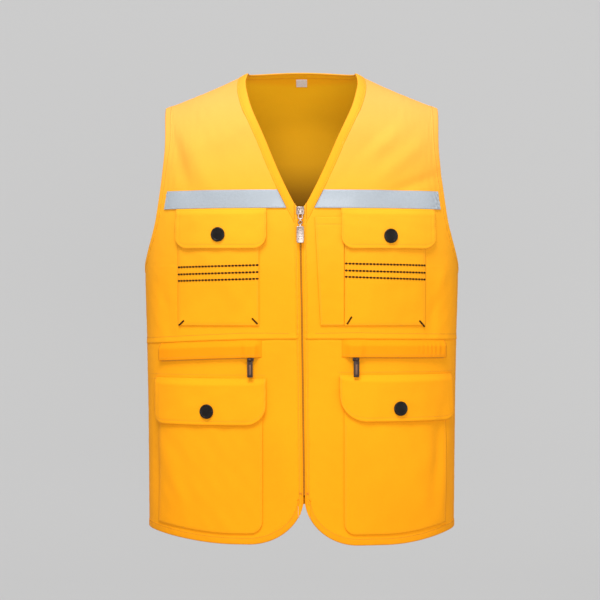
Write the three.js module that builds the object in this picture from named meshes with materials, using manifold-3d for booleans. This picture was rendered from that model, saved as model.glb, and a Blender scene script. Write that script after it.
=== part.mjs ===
import * as THREE from 'three';
import { mergeVertices } from 'three/addons/utils/BufferGeometryUtils.js';
import Module from 'manifold-3d';

// Utility work vest, in millimetres: +Z up, the front towards -Y, +X towards the wearer's left.
// The origin lies midway between the two neck points, where the shoulder seams meet the neck.

// Body: a tube of rounded sections that rolls over the shoulders.
const bodyLength = 642;
const chestHalfWidth = 222;
const frontDepth = 120;
const backDepth = 122;
const squareness = 2.2;
const shoulderHalfWidth = 193.5;
const shoulderDrop = 50;
const shoulderRoll = 90;
const neckPointRound = 4;
const shoulderBow = 0.86;
const foldDepth = 5;

// Neck, armholes and front edge.
const neckHalfWidth = 79;
const neckDepth = 194;
const backNeckDrop = 42;
const backNeckRise = 17;
const underarmDrop = 272;
const zipLength = 398;
const zipShift = 3.4;

// Seams and hem.
const waistDrop = 376;
const yokeBelowWaist = 54;
const hemCornerRadius = 76;
const hemCornerRise = 68;
const cornerReach = 0.2;
const backHemRise = 17;

// Cloth, its edge bands and the room between pieces.
const cloth = 1.2;
const bandOver = 0.5;
const neckBandWidth = 12;
const armholeBandWidth = 11.5;
const hemBandWidth = 10.5;
const placketWidth = 8;
const seamGap = 0.3;
const layerGap = 0.7;

// Front zip.
const zipOpening = 1.8;
const zipTopTuck = 4;
const zipTapeWidth = 12;
const zipTapeThickness = 1;
const zipChainWidth = 4.6;
const zipChainThickness = 1.3;
const sliderWidth = 11;
const sliderLength = 11;
const sliderThickness = 2.2;
const sliderStemShare = 0.7;
const weld = 0.3;
const crownWidth = 2.6;
const crownSpan = 7.6;
const crownHeight = 4.2;
const crownBar = 1.1;
const pullThickness = 1.4;
const pullPlay = 0.5;
const linkWidth = 7;
const linkEye = 4;
const linkLength = 11.5;
const ringLength = 10;
const ringHole = 3.4;
const tabWidth = 10;
const tabLength = 23;
const linkCorner = 1;
const ringCorner = 2;
const tabCorner = 3.5;

// Reflective tape.
const tapeDownNeck = 0.879;
const tapeWidth = 25;
const tapeThickness = 1;

// Chest pockets and flaps.
const chestFlapHeight = 55.5;
const chestPocketAboveWaist = 18.5;
const chestPocketBelowSeam = 14;
const pocketFullness = 2.5;
const pocketMouth = 0.25;
const flapFullness = 1.5;
const snapDiameter = 19;
const snapHeight = 3.4;
const snapPost = 0.9;

// Pen pocket.
const penPocketBelowTape = 12.5;
const penPocketTop = 17.5;
const penPocketFoot = 25.5;

// Zipped pockets under the waist seam.
const coverHeight = 24.5;
const coverEnd = 55;
const pocketChainHeight = 9;
const pocketChainInset = 3;
const pocketChainThickness = 1.4;
const pocketSliderWidth = 9;
const pocketSliderHeight = 8;
const pocketSliderThickness = 2;
const pocketSliderAbove = 3;
const pocketCrownWidth = 6.4;
const pocketCrownBar = 1.3;
const pocketPullWidth = 7.6;
const pocketPullLength = 24;
const pocketPullThickness = 1.8;
const pullLoopWidth = 3.2;
const pullLoopWall = 1;
const pocketPullCorner = 1.2;

// Cargo pockets and flaps.
const cargoFlapHeight = 65;
const cargoPocketBelowSeam = 16;
const cargoFootGap = 4;
const cargoFullness = 4;
const cargoPocketCorner = 15;

// Size label inside the back neck.
const labelWidth = 16;
const labelHeight = 13;
const labelThickness = 1;
const labelHang = 2.2;

// Cells of the cloth walls.
const frontColumns = 14;
const neckRowCount = 7;
const armholeRowCount = 10;
const waistRows = 4;
const lowerColumns = 18;
const cornerColumns = 5;
const lowerRows = 8;
const placketRows = 12;
const backNeckSteps = 5;
const backSideSteps = 7;
const backRows = 7;
const tapeColumns = 10;
const coverSteps = 8;
const flapCornerSteps = 3;
const flapMiddleSteps = 8;
const coverRows = [0, 0.58, 1];
const flapRows = [0, 0.16, 0.45, 0.75, 1];
const chestPocketColumns = 8;
const cargoPocketColumns = 11;
const pocketRows = 7;
const penColumns = 3;
const penRows = 5;
const labelRows = 3;
const snapSides = 14;

// Body sections, as shares: down the body, of the half width and of the two depths.
const bodySections = [
  { down: 0.00, wide: 0.985, fore: 0.80, aft: 0.90 },
  { down: 0.14, wide: 0.990, fore: 0.92, aft: 1.00 },
  { down: 0.33, wide: 1.000, fore: 1.00, aft: 1.00 },
  { down: 0.48, wide: 0.990, fore: 0.98, aft: 0.93 },
  { down: 0.64, wide: 0.981, fore: 0.94, aft: 0.90 },
  { down: 0.91, wide: 0.973, fore: 0.95, aft: 0.95 },
  { down: 1.04, wide: 0.968, fore: 0.95, aft: 0.97 },
];

// Neck edge, as shares of the neck depth and of the half width of the neck. Its band runs straight
// below the share straightNeck.
const straightNeck = 0.88;
const neckEdgeRows = [
  { down: 0.00, out: 0.955 },
  { down: 0.08, out: 0.990 },
  { down: 0.19, out: 0.945 },
  { down: 0.30, out: 0.860 },
  { down: 0.50, out: 0.640 },
  { down: 0.66, out: 0.475 },
  { down: 0.81, out: 0.310 },
  { down: 0.95, out: 0.138 },
  { down: 0.985, out: 0.087 },
  { down: 1.02, out: 0.025 },
  { down: 1.05, out: 0.000 },
];

// Armhole edge, as shares of the drop to the underarm and of the way out to the side seam.
const armholeRows = [
  { down: 0.00, out: 0.00 },
  { down: 0.26, out: -0.06 },
  { down: 0.45, out: 0.08 },
  { down: 0.63, out: 0.28 },
  { down: 0.73, out: 0.41 },
  { down: 0.81, out: 0.57 },
  { down: 0.91, out: 0.80 },
  { down: 1.00, out: 1.00 },
];

// The middle line of the fronts leans a little, as a share of the body length and of the shift.
const middleRows = [
  { down: 0.00, lean: 0.00 },
  { down: 0.30, lean: -0.62 },
  { down: 0.55, lean: 0.10 },
  { down: 0.93, lean: 1.00 },
  { down: 1.05, lean: 1.10 },
];

// Soft rolls and dents of the hanging cloth: place and spread as shares of the half width and of
// the body length, rise as a share of the fold depth. Face -1 is the front, 1 the back.
const foldRows = [
  { face: -1, across: -0.86, spread: 0.10, top: 0.60, foot: 1.10, rise: 0.8 },
  { face: -1, across: -0.30, spread: 0.13, top: 0.72, foot: 1.15, rise: -0.5 },
  { face: -1, across: 0.84, spread: 0.10, top: 0.58, foot: 1.10, rise: 0.7 },
  { face: -1, across: 0.34, spread: 0.13, top: 0.70, foot: 1.15, rise: -0.4 },
  { face: -1, across: -0.84, spread: 0.09, top: 0.28, foot: 0.56, rise: -0.8 },
  { face: -1, across: 0.84, spread: 0.09, top: 0.28, foot: 0.56, rise: -0.8 },
  { face: 1, across: -0.45, spread: 0.14, top: 0.42, foot: 1.20, rise: 1.0 },
  { face: 1, across: 0.45, spread: 0.14, top: 0.42, foot: 1.20, rise: 1.0 },
  { face: 1, across: 0.00, spread: 0.20, top: 0.40, foot: 1.20, rise: -0.8 },
];

// Cap of a press stud from its post up to its crown, as shares of its radius and of its height.
const snapRows = [
  { out: 0.40, up: 0.00 },
  { out: 1.00, up: 0.06 },
  { out: 1.00, up: 0.35 },
  { out: 0.72, up: 0.85 },
  { out: 0.00, up: 1.00 },
];

// What differs between the two fronts. Side -1 is the wearer's right. Ends of the flaps and pockets
// and places of the snaps and pulls run out from the middle, as shares of the half width of the
// chest. The sag of the waist seam, the cut of the cargo flap and the dip of the hem are shares of
// the body length. Corners and the places down of the snaps are shares of the height of their flap.
const frontRows = [
  { name: 'right', side: -1,
    flapNear: 0.2185, flapFar: 0.7802, pocketNear: 0.2635, pocketFar: 0.7694,
    chestSnap: 0.509, pull: 0.3153, cargoNear: 0.2207, cargoFar: 0.9167,
    cargoPocketNear: 0.241, cargoPocketFar: 0.8964, cargoSnap: 0.5766, coverReach: 0.8874,
    waistSag: 0.01246, cargoFlapCut: 0.0, hemDip: 0.02648, hemDipMiddle: 0.42,
    flapCorner: 0.234, cargoCorner: 0.308, chestSnapDown: 0.652, cargoSnapDown: 0.708 },
  { name: 'left', side: 1,
    flapNear: 0.2432, flapFar: 0.8266, pocketNear: 0.2635, pocketFar: 0.7694,
    chestSnap: 0.5405, pull: 0.3333, cargoNear: 0.2342, cargoFar: 0.9414,
    cargoPocketNear: 0.2613, cargoPocketFar: 0.9009, cargoSnap: 0.5991, coverReach: 0.8986,
    waistSag: 0.00312, cargoFlapCut: 0.00779, hemDip: 0.02882, hemDipMiddle: 0.52,
    flapCorner: 0.216, cargoCorner: 0.4, chestSnapDown: 0.688, cargoSnapDown: 0.723 },
];

const wideColumns = ['flapNear', 'flapFar', 'pocketNear', 'pocketFar', 'chestSnap', 'pull', 'cargoNear',
  'cargoFar', 'cargoPocketNear', 'cargoPocketFar', 'cargoSnap', 'coverReach'];
const tallColumns = ['waistSag', 'cargoFlapCut', 'hemDip'];

// Colours of the cloth, the tape, the thread and the metal.
const finishes = {
  cloth: { color: 0xf9ae16, roughness: 0.85, metalness: 0 },
  tape: { color: 0xb8c2d0, roughness: 0.35, metalness: 0.2 },
  zip: { color: 0x3a2c12, roughness: 0.6, metalness: 0 },
  metal: { color: 0xc9c4ba, roughness: 0.3, metalness: 1 },
  gunmetal: { color: 0x33302f, roughness: 0.35, metalness: 0.8 },
  label: { color: 0xf4f4f2, roughness: 0.8, metalness: 0 },
};

const wasm = await Module();
wasm.setup();

const vest = new THREE.Group();

// The two fronts with their lengths in millimetres.
const fronts = frontRows.map((row) => {
  const front = { ...row };
  for (const column of wideColumns) front[column] = row[column] * chestHalfWidth;
  for (const column of tallColumns) front[column] = row[column] * bodyLength;
  front.flapCorner = row.flapCorner * chestFlapHeight;
  front.cargoCorner = row.cargoCorner * cargoFlapHeight;
  return front;
});

const tapeDrop = neckDepth * tapeDownNeck;
const yokeSeamDrop = waistDrop + yokeBelowWaist;
const chestPocketFoot = waistDrop - chestPocketAboveWaist;
const penPocketDrop = tapeDrop + tapeWidth + penPocketBelowTape;

function lerp(from, to, share) {
  return from + (to - from) * share;
}

function clamp(value, low, high) {
  return Math.min(Math.max(value, low), high);
}

function ease(share) {
  const s = clamp(share, 0, 1);
  return s * s * (3 - 2 * s);
}

// A smooth curve through a table's rows, read at a value of its first named column.
function follow(rows, along, column, at) {
  const last = rows.length - 1;
  let i = 0;
  while (i < last - 1 && at > rows[i + 1][along]) i += 1;
  const slope = (k) => {
    const before = rows[Math.max(k - 1, 0)];
    const after = rows[Math.min(k + 1, last)];
    return (after[column] - before[column]) / (after[along] - before[along]);
  };
  const span = rows[i + 1][along] - rows[i][along];
  const s = clamp((at - rows[i][along]) / span, 0, 1);
  const start = rows[i][column] * (1 + 2 * s) * (1 - s) ** 2;
  const end = rows[i + 1][column] * s * s * (3 - 2 * s);
  return start + end + slope(i) * span * s * (1 - s) ** 2 - slope(i + 1) * span * s * s * (1 - s);
}

function solve(fn, low, high) {
  let near = low;
  let far = high;
  for (let i = 0; i < 40; i += 1) {
    const mid = (near + far) / 2;
    if (fn(mid) > 0) near = mid;
    else far = mid;
  }
  return (near + far) / 2;
}

const neckPoint = neckHalfWidth * neckEdgeRows[0].out;

// Height of the shoulder line over a place across the body, rounded a little at the neck point.
function ridge(face, x) {
  const beyond = Math.abs(x) - neckPoint;
  const fall = (reach) => (Math.hypot(reach, neckPointRound) - neckPointRound) ** shoulderBow;
  if (beyond > 0) return -shoulderDrop * fall(beyond) / fall(shoulderHalfWidth - neckPoint);
  const rise = face > 0 ? backNeckRise : 0;
  return rise * (1 - (x / neckPoint) ** 2);
}

// The cloth rolls over the shoulder: way along it against depth below the shoulder line.
function depthAt(way) {
  const quarter = shoulderRoll * Math.PI / 2;
  if (way > quarter) return shoulderRoll + way - quarter;
  return shoulderRoll * (1 - Math.cos(way / shoulderRoll));
}

function wayAt(depth) {
  if (depth > shoulderRoll) return depth + shoulderRoll * (Math.PI / 2 - 1);
  return shoulderRoll * Math.acos(clamp(1 - depth / shoulderRoll, -1, 1));
}

function rollAt(way) {
  return way > shoulderRoll * Math.PI / 2 ? 1 : Math.sin(way / shoulderRoll);
}

function halfWidthAt(depth) {
  return chestHalfWidth * follow(bodySections, 'down', 'wide', depth / bodyLength);
}

function bodyDepthAt(face, depth) {
  const share = follow(bodySections, 'down', face < 0 ? 'fore' : 'aft', depth / bodyLength);
  return share * (face < 0 ? frontDepth : backDepth);
}

function foldAt(face, across, depth) {
  const down = depth / bodyLength;
  let rise = 0;
  for (const fold of foldRows) {
    const middle = (fold.top + fold.foot) / 2;
    const tall = (fold.foot - fold.top) / 2;
    const beside = Math.exp(-(((across - fold.across) / fold.spread) ** 2));
    const within = ease(1 - Math.abs(down - middle) / tall);
    if (fold.face === face) rise += fold.rise * beside * within;
  }
  return foldDepth * rise * (1 - Math.abs(across) ** 8);
}

// A point of the bare body: turn runs from -1 at the right side seam to 1 at the left one.
function bodyPoint(face, turn, way) {
  const depth = depthAt(way);
  const angle = turn * Math.PI / 2;
  const reach = Math.abs(Math.sin(angle)) ** (2 / squareness) * Math.sign(turn);
  const fore = Math.abs(Math.cos(angle)) ** (2 / squareness) * Math.sign(Math.cos(angle));
  const x = halfWidthAt(depth) * reach;
  const deep = bodyDepthAt(face, depth) * fore * rollAt(way) + foldAt(face, reach, depth) * fore;
  return new THREE.Vector3(x, face * (deep + seamGap / 2), ridge(face, x) - depth);
}

// Change of place along the body per unit of turn, and per millimetre of way.
function alongTurn(face, turn, way) {
  const step = 0.004;
  const span = bodyPoint(face, turn + step, way).sub(bodyPoint(face, turn - step, way));
  return span.divideScalar(2 * step);
}

function alongWay(face, turn, way) {
  return bodyPoint(face, turn, way + 1).sub(bodyPoint(face, turn, way - 1)).divideScalar(2);
}

function bodyNormal(face, turn, way) {
  const across = alongTurn(face, turn, way);
  return alongWay(face, turn, way).cross(across).normalize().multiplyScalar(-face);
}

// Where a place across and a height lie on the body.
function spotAt(face, x, z) {
  const depth = ridge(face, x) - z;
  const share = clamp(Math.abs(x) / halfWidthAt(depth), 0, 1);
  const turn = Math.asin(share ** (squareness / 2)) * 2 / Math.PI * Math.sign(x);
  return { turn, way: wayAt(depth) };
}

// The same from a place across and a way down from the shoulder line.
function spotDown(x, way) {
  const share = clamp(Math.abs(x) / halfWidthAt(depthAt(way)), 0, 1);
  return { turn: Math.asin(share ** (squareness / 2)) * 2 / Math.PI * Math.sign(x), way };
}

function lifted(face, spot, lift) {
  const normal = bodyNormal(face, spot.turn, spot.way);
  return bodyPoint(face, spot.turn, spot.way).addScaledVector(normal, lift);
}

// A frame on the body: X level along the cloth, -Y outwards, Z up the cloth.
function seat(face, x, z, lift) {
  const spot = spotAt(face, x, z);
  const out = bodyNormal(face, spot.turn, spot.way);
  const level = new THREE.Vector3(0, 0, 1).cross(out).normalize();
  const up = out.clone().cross(level);
  const matrix = new THREE.Matrix4().makeBasis(level, out.clone().negate(), up);
  return matrix.setPosition(lifted(face, spot, lift));
}

function addMesh(name, geometry, finish, matrix) {
  const mesh = new THREE.Mesh(geometry, new THREE.MeshStandardMaterial(finish));
  mesh.name = name;
  if (matrix) matrix.decompose(mesh.position, mesh.quaternion, mesh.scale);
  vest.add(mesh);
  return mesh;
}

function signedVolume(points, triangles) {
  let sum = 0;
  for (const [a, b, c] of triangles) {
    sum += points[a].dot(points[b].clone().cross(points[c]));
  }
  return sum / 6;
}

// A cloth wall: a grid of cells between two lifts off the body, closed all round its edge.
function wall(face, columns, rows, place, under, over) {
  const points = [];
  for (const lift of [over, under]) {
    for (let r = 0; r <= rows; r += 1) {
      for (let c = 0; c <= columns; c += 1) {
        points.push(lifted(face, place(c, r), lift(c, r)));
      }
    }
  }
  const layer = (columns + 1) * (rows + 1);
  const at = (c, r, inner) => inner * layer + r * (columns + 1) + c;
  const triangles = [];
  const quad = (a, b, c, d) => triangles.push([a, b, c], [a, c, d]);
  for (let r = 0; r < rows; r += 1) {
    for (let c = 0; c < columns; c += 1) {
      quad(at(c, r, 0), at(c, r + 1, 0), at(c + 1, r + 1, 0), at(c + 1, r, 0));
      quad(at(c, r, 1), at(c + 1, r, 1), at(c + 1, r + 1, 1), at(c, r + 1, 1));
    }
    quad(at(0, r, 0), at(0, r, 1), at(0, r + 1, 1), at(0, r + 1, 0));
    quad(at(columns, r, 0), at(columns, r + 1, 0), at(columns, r + 1, 1), at(columns, r, 1));
  }
  for (let c = 0; c < columns; c += 1) {
    quad(at(c, 0, 0), at(c + 1, 0, 0), at(c + 1, 0, 1), at(c, 0, 1));
    quad(at(c, rows, 0), at(c, rows, 1), at(c + 1, rows, 1), at(c + 1, rows, 0));
  }
  if (signedVolume(points, triangles) < 0) triangles.forEach((triangle) => triangle.reverse());
  const geometry = new THREE.BufferGeometry().setFromPoints(points);
  geometry.setIndex(triangles.flat());
  geometry.computeVertexNormals();
  return geometry;
}

const shellUnder = () => 0;
const shellOver = () => cloth;
const bandUnderLift = () => -bandOver;
const bandOverLift = () => cloth + bandOver;

// Shares across a panel, closer together towards the side seam.
function spreadShare(share) {
  return Math.sin(share * Math.PI / 2) ** (2 / squareness);
}

// Distance of the side seam from the middle at a height.
function sideSeamAt(z) {
  return halfWidthAt(ridge(-1, chestHalfWidth) - z);
}

// The middle line of the fronts, where the zip runs.
function middle(z) {
  return zipShift * follow(middleRows, 'down', 'lean', -z / bodyLength);
}

function neckEdge(z) {
  return neckHalfWidth * follow(neckEdgeRows, 'down', 'out', -z / neckDepth);
}

// The seam of the neck band keeps its slope below the point where the two edges close in.
function neckSeam(z) {
  const at = Math.max(z, -straightNeck * neckDepth);
  const slope = (neckEdge(at + 1) - neckEdge(at - 1)) / 2;
  return neckEdge(at) + slope * (z - at) + neckBandWidth * Math.hypot(1, slope);
}

function waist(side, x) {
  const sag = side < 0 ? fronts[0].waistSag : fronts[1].waistSag;
  return -waistDrop - sag * (x / chestHalfWidth) ** 2;
}

// Hem of a front: a shallow dip and a round corner up to the zip, measured from the middle line.
function hemCurve(side, out, inset) {
  const { hemDip, hemDipMiddle } = side < 0 ? fronts[0] : fronts[1];
  const beyond = clamp((out / chestHalfWidth - hemDipMiddle) / (1 - hemDipMiddle), 0, 1);
  const dip = hemDip * Math.cos(beyond * Math.PI / 2);
  const low = -bodyLength - dip + inset;
  const radiusIn = hemCornerRadius - (inset > 0 ? placketWidth : 0);
  const radiusUp = hemCornerRise - inset;
  const near = clamp((hemCornerRadius - out) / radiusIn, 0, 1);
  return low + radiusUp * (1 - Math.sqrt(1 - near * near));
}

function backHem(x) {
  return -bodyLength + backHemRise * Math.cos(clamp(x / chestHalfWidth, -1, 1) * Math.PI / 2);
}

// How far out the armhole edge is at a height.
function armholeEdge(z) {
  const down = clamp((-z - shoulderDrop) / (underarmDrop - shoulderDrop), 0, 1);
  return lerp(shoulderHalfWidth, sideSeamAt(-underarmDrop), follow(armholeRows, 'down', 'out', down));
}

// The armhole edge of one sheet, or a line inside it, from the shoulder tip to the side seam.
function armholeLine(face, side, inset) {
  const seamX = sideSeamAt(-underarmDrop);
  const total = wayAt(ridge(face, seamX) + underarmDrop);
  const edge = [];
  for (let i = 0; i <= armholeRowCount; i += 1) {
    const way = total * Math.sin(i / armholeRowCount * Math.PI / 2);
    let x = shoulderHalfWidth;
    for (let pass = 0; pass < 8; pass += 1) x = armholeEdge(ridge(face, x) - depthAt(way));
    edge.push(spotDown(x, way));
  }
  edge[armholeRowCount].turn = 1;
  return edge.map((spot, i) => {
    const before = edge[Math.max(i - 1, 0)];
    const after = edge[Math.min(i + 1, armholeRowCount)];
    const beside = alongTurn(face, spot.turn, spot.way);
    const below = alongWay(face, spot.turn, spot.way);
    const along = bodyPoint(face, after.turn, after.way).sub(bodyPoint(face, before.turn, before.way));
    const inward = bodyNormal(face, spot.turn, spot.way).cross(along).normalize();
    inward.multiplyScalar(face * inset);
    let turn = spot.turn + inward.dot(beside) / beside.lengthSq();
    let way = spot.way + inward.dot(below) / below.lengthSq();
    if (i === 0) {
      turn = spot.turn - inset / beside.length();
      way = 0;
    }
    if (i === armholeRowCount) {
      turn = 1;
      way = spot.way + inset;
    }
    return { turn: turn * side, way };
  });
}

// A strip between two lines with the same number of spots.
function strip(face, first, second, under, over) {
  return wall(face, 1, first.length - 1, (c, r) => (c === 0 ? first[r] : second[r]), under, over);
}

function across(spot, face) {
  return bodyPoint(face, spot.turn, spot.way).x;
}

// A place out from the middle line of the fronts; the lean fades out towards the side seam.
function outAt(side, out, z) {
  return side * out + middle(z) * (1 - out / sideSeamAt(z));
}

// The neck edge and the seam of its band on one front, from the shoulder down to the placket.
function neckLine(side, edge, inset) {
  const foot = solve((down) => edge(-down) - placketWidth - seamGap, 0, neckDepth * 1.3);
  const spots = [];
  for (let i = 0; i <= neckRowCount; i += 1) {
    const way = wayAt(foot) * i / neckRowCount;
    const z = -depthAt(way);
    spots.push(spotDown(outAt(side, edge(z) + inset, z), way));
  }
  return spots;
}

// The back neck edge, or a line outside it, from the right shoulder seam to the left one.
function backNeckLine(out, drop) {
  const spots = [];
  for (let i = -backNeckSteps; i <= backNeckSteps; i += 1) {
    const angle = i / backNeckSteps * Math.PI / 2;
    spots.push(spotDown(out * Math.sin(angle), drop * Math.cos(angle)));
  }
  return spots;
}

// Front cloth above the waist seam.
function frontUpper(side) {
  const medial = neckLine(side, neckSeam, seamGap);
  const lateral = armholeLine(-1, side, armholeBandWidth + seamGap);
  const under = lateral[armholeRowCount];
  const underZ = bodyPoint(-1, under.turn, under.way).z;
  const start = bodyPoint(-1, medial[neckRowCount].turn, medial[neckRowCount].way).z;
  const extra = armholeRowCount - neckRowCount;
  const near = placketWidth + seamGap;
  for (let i = 1; i <= extra; i += 1) {
    const z = lerp(start, underZ, i / extra);
    medial.push(spotAt(-1, outAt(side, near, z), z));
  }
  const place = (c, r) => {
    const share = spreadShare(c / frontColumns);
    const row = Math.min(r, armholeRowCount);
    const from = medial[row];
    const to = lateral[row];
    const x = lerp(across(from, -1), across(to, -1), share);
    const spot = spotDown(x, lerp(from.way, to.way, share));
    if (r <= armholeRowCount) return spot;
    const top = bodyPoint(-1, spot.turn, spot.way).z;
    const level = (r - armholeRowCount) / waistRows;
    const foot = waist(side, lerp(near, sideSeamAt(-waistDrop), share)) + seamGap / 2;
    const z = lerp(top, foot, level);
    return spotAt(-1, lerp(outAt(side, near, z), side * sideSeamAt(z), share), z);
  };
  return wall(-1, frontColumns, armholeRowCount + waistRows, place, shellUnder, shellOver);
}

// Columns of a lower front: close together round the hem corner, then out to the side seam.
function lowerShare(c) {
  if (c <= cornerColumns) return cornerReach * (1 - Math.cos(c / cornerColumns * Math.PI / 2));
  return lerp(cornerReach, 1, (c - cornerColumns) / (lowerColumns - cornerColumns));
}

function lowerOut(c, z) {
  const near = placketWidth + seamGap;
  return lerp(near, sideSeamAt(z), spreadShare(lowerShare(c)));
}

function lowerSpot(side, c, z) {
  return spotAt(-1, outAt(side, lowerOut(c, z), z), z);
}

// Front cloth between the waist seam and the hem band.
function frontLower(side) {
  const place = (c, r) => {
    const top = waist(side, lowerOut(c, -waistDrop)) - seamGap / 2;
    const foot = hemCurve(side, lowerOut(c, -bodyLength), hemBandWidth + seamGap);
    return lowerSpot(side, c, lerp(top, foot, r / lowerRows));
  };
  return wall(-1, lowerColumns, lowerRows, place, shellUnder, shellOver);
}

function hemBand(side) {
  const place = (c, r) => {
    const out = lowerOut(c, -bodyLength);
    return lowerSpot(side, c, hemCurve(side, out, r === 0 ? hemBandWidth : 0));
  };
  return wall(-1, lowerColumns, 1, place, bandUnderLift, bandOverLift);
}

// The turned front edge beside the zip, from the neck edge down to the hem.
function placket(side) {
  const place = (c, r) => {
    const out = c === 0 ? zipOpening / 2 : placketWidth;
    const top = -solve((down) => neckEdge(-down) - out, 0, neckDepth * 1.05);
    const z = lerp(top, hemCurve(side, out, 0), r / placketRows);
    return spotAt(-1, outAt(side, out, z), z);
  };
  return wall(-1, 1, placketRows, place, bandUnderLift, bandOverLift);
}

const backHalfSteps = backNeckSteps + backSideSteps;

// Columns of the back, counted out from the middle: round the neck, then along the shoulder.
function backShare(k) {
  const neck = (neckSeam(0) + seamGap) / across(armholeLine(1, 1, armholeBandWidth + seamGap)[0], 1);
  if (k <= backNeckSteps) return neck * Math.sin(k / backNeckSteps * Math.PI / 2);
  return lerp(neck, 1, Math.sin((k - backNeckSteps) / backSideSteps * Math.PI / 2));
}

// The back, one cloth between its neck, armhole and hem bands.
function backPanel() {
  const lateral = armholeLine(1, 1, armholeBandWidth + seamGap);
  const neckWay = backNeckDrop + neckBandWidth + seamGap;
  const place = (c, r) => {
    const k = Math.abs(c - backHalfSteps);
    const side = Math.sign(c - backHalfSteps);
    const share = backShare(k);
    const row = Math.min(r, armholeRowCount);
    const seam = lateral[row];
    const seamX = across(seam, 1);
    const x = seamX * share;
    const last = lateral[armholeRowCount];
    const seamZ = bodyPoint(1, last.turn, last.way).z;
    if (r <= armholeRowCount) {
      const scoop = k < backNeckSteps ? neckWay * Math.cos(k / backNeckSteps * Math.PI / 2) : 0;
      const sideLevel = seam.way / wayAt(ridge(1, seamX) - seamZ);
      const level = lerp(row / armholeRowCount, sideLevel, share ** 2);
      return spotDown(side * x, lerp(scoop, wayAt(ridge(1, x) - seamZ), level));
    }
    const foot = backHem(share * sideSeamAt(-bodyLength)) + hemBandWidth + seamGap;
    const z = lerp(seamZ, foot, (r - armholeRowCount) / backRows);
    return spotAt(1, side * sideSeamAt(z) * share, z);
  };
  return wall(1, 2 * backHalfSteps, armholeRowCount + backRows, place, shellUnder, shellOver);
}

function backHemBand() {
  const place = (c, r) => {
    const share = backShare(Math.abs(c - backHalfSteps)) * Math.sign(c - backHalfSteps);
    const z = backHem(share * sideSeamAt(-bodyLength)) + (r === 0 ? hemBandWidth : 0);
    return spotAt(1, sideSeamAt(z) * share, z);
  };
  return wall(1, 2 * backHalfSteps, 1, place, bandUnderLift, bandOverLift);
}

// A zip half or its chain, on the inner side of the front edges.
function zipStrip(side, near, far, under, over) {
  const top = -neckDepth - zipTopTuck;
  const foot = -neckDepth - zipLength;
  const place = (c, r) => {
    const z = lerp(top, foot, r / placketRows);
    return spotAt(-1, outAt(side, c === 0 ? near : far, z), z);
  };
  return wall(-1, 1, placketRows, place, () => under, () => over);
}

// Reach of the open cloth towards the armhole at a height, clear of the armhole band.
function clothEdge(side, z) {
  const spot = spotAt(-1, armholeEdge(z), z);
  const beside = alongTurn(-1, spot.turn, spot.way).length();
  spot.turn -= (armholeBandWidth + 2 * layerGap) / beside;
  return side * across(spot, -1);
}

const onShell = cloth + layerGap;

// Reflective tape between the neck band and the armhole band.
function tape(side) {
  const place = (c, r) => {
    const z = -tapeDrop - tapeWidth * r;
    const from = outAt(side, neckSeam(z) + 2 * layerGap, z);
    return spotAt(-1, lerp(from, clothEdge(side, z), spreadShare(c / tapeColumns)), z);
  };
  return wall(-1, tapeColumns, 1, place, () => onShell, () => onShell + tapeThickness);
}

// How far a pocket stands off the front across its width.
function belly(out, near, far) {
  return Math.sin(clamp((out - near) / (far - near), 0, 1) * Math.PI);
}

// Rise of a lower edge at a round corner.
function cornerRise(distance, radius) {
  if (distance >= radius) return 0;
  return radius - Math.sqrt(radius ** 2 - (radius - distance) ** 2);
}

// A patch pocket, open along its top edge and full in the middle.
function pocket(side, size) {
  const { columns } = size;
  const rows = pocketRows;
  const outOf = (c) => lerp(size.near, size.far, c / columns);
  const place = (c, r) => {
    const out = outOf(c);
    const foot = size.foot(out) + cornerRise(out - size.near, size.corner);
    const z = lerp(-size.top, foot, r / rows);
    return spotAt(-1, side * out, z);
  };
  const under = (c, r) => {
    const down = Math.sin(Math.PI * lerp(pocketMouth, 1, r / rows));
    return onShell + size.fullness * belly(outOf(c), size.near, size.far) * down;
  };
  return wall(-1, columns, rows, place, under, (c, r) => under(c, r) + cloth);
}

// Columns of a flap: close together at both round corners.
function flapOut(flap, c) {
  const corner = flapCornerSteps;
  const last = 2 * corner + flapMiddleSteps;
  const arc = (k) => 1 - Math.cos(k / corner * Math.PI / 2);
  if (c <= corner) return flap.near + flap.cornerNear * arc(c);
  if (c >= last - corner) return flap.far - flap.cornerFar * arc(last - c);
  return lerp(flap.near + flap.cornerNear, flap.far - flap.cornerFar, (c - corner) / flapMiddleSteps);
}

// A flap sewn along its top edge, standing clear of the pocket under it.
function flapLift(flap, out, down) {
  const room = cloth + layerGap + flap.fullness * belly(out, flap.pocketNear, flap.pocketFar);
  return onShell + (room + flapFullness * ease(down)) * ease(down / flapRows[1]);
}

function flap(side, size) {
  const columns = 2 * flapCornerSteps + flapMiddleSteps;
  const place = (c, r) => {
    const out = flapOut(size, c);
    const nearRise = cornerRise(out - size.near, size.cornerNear);
    const farRise = cornerRise(size.far - out, size.cornerFar);
    return spotAt(-1, side * out, -size.top - (size.height - nearRise - farRise) * flapRows[r]);
  };
  const under = (c, r) => flapLift(size, flapOut(size, c), flapRows[r]);
  const last = flapRows.length - 1;
  return wall(-1, columns, last, place, under, (c, r) => under(c, r) + cloth);
}

// A closed geometry as a solid that can be joined and cut, and back again.
function asSolid(geometry) {
  const bare = geometry.clone();
  bare.deleteAttribute('normal');
  bare.deleteAttribute('uv');
  const merged = mergeVertices(bare, 0.0001);
  const vertProperties = new Float32Array(merged.attributes.position.array);
  const triVerts = new Uint32Array(merged.index.array);
  return new wasm.Manifold(new wasm.Mesh({ numProp: 3, vertProperties, triVerts }));
}

function fromSolid(solid) {
  const mesh = solid.getMesh();
  const geometry = new THREE.BufferGeometry();
  geometry.setAttribute('position', new THREE.BufferAttribute(mesh.vertProperties, 3));
  geometry.setIndex(new THREE.BufferAttribute(mesh.triVerts, 1));
  geometry.computeVertexNormals();
  return geometry;
}

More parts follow.
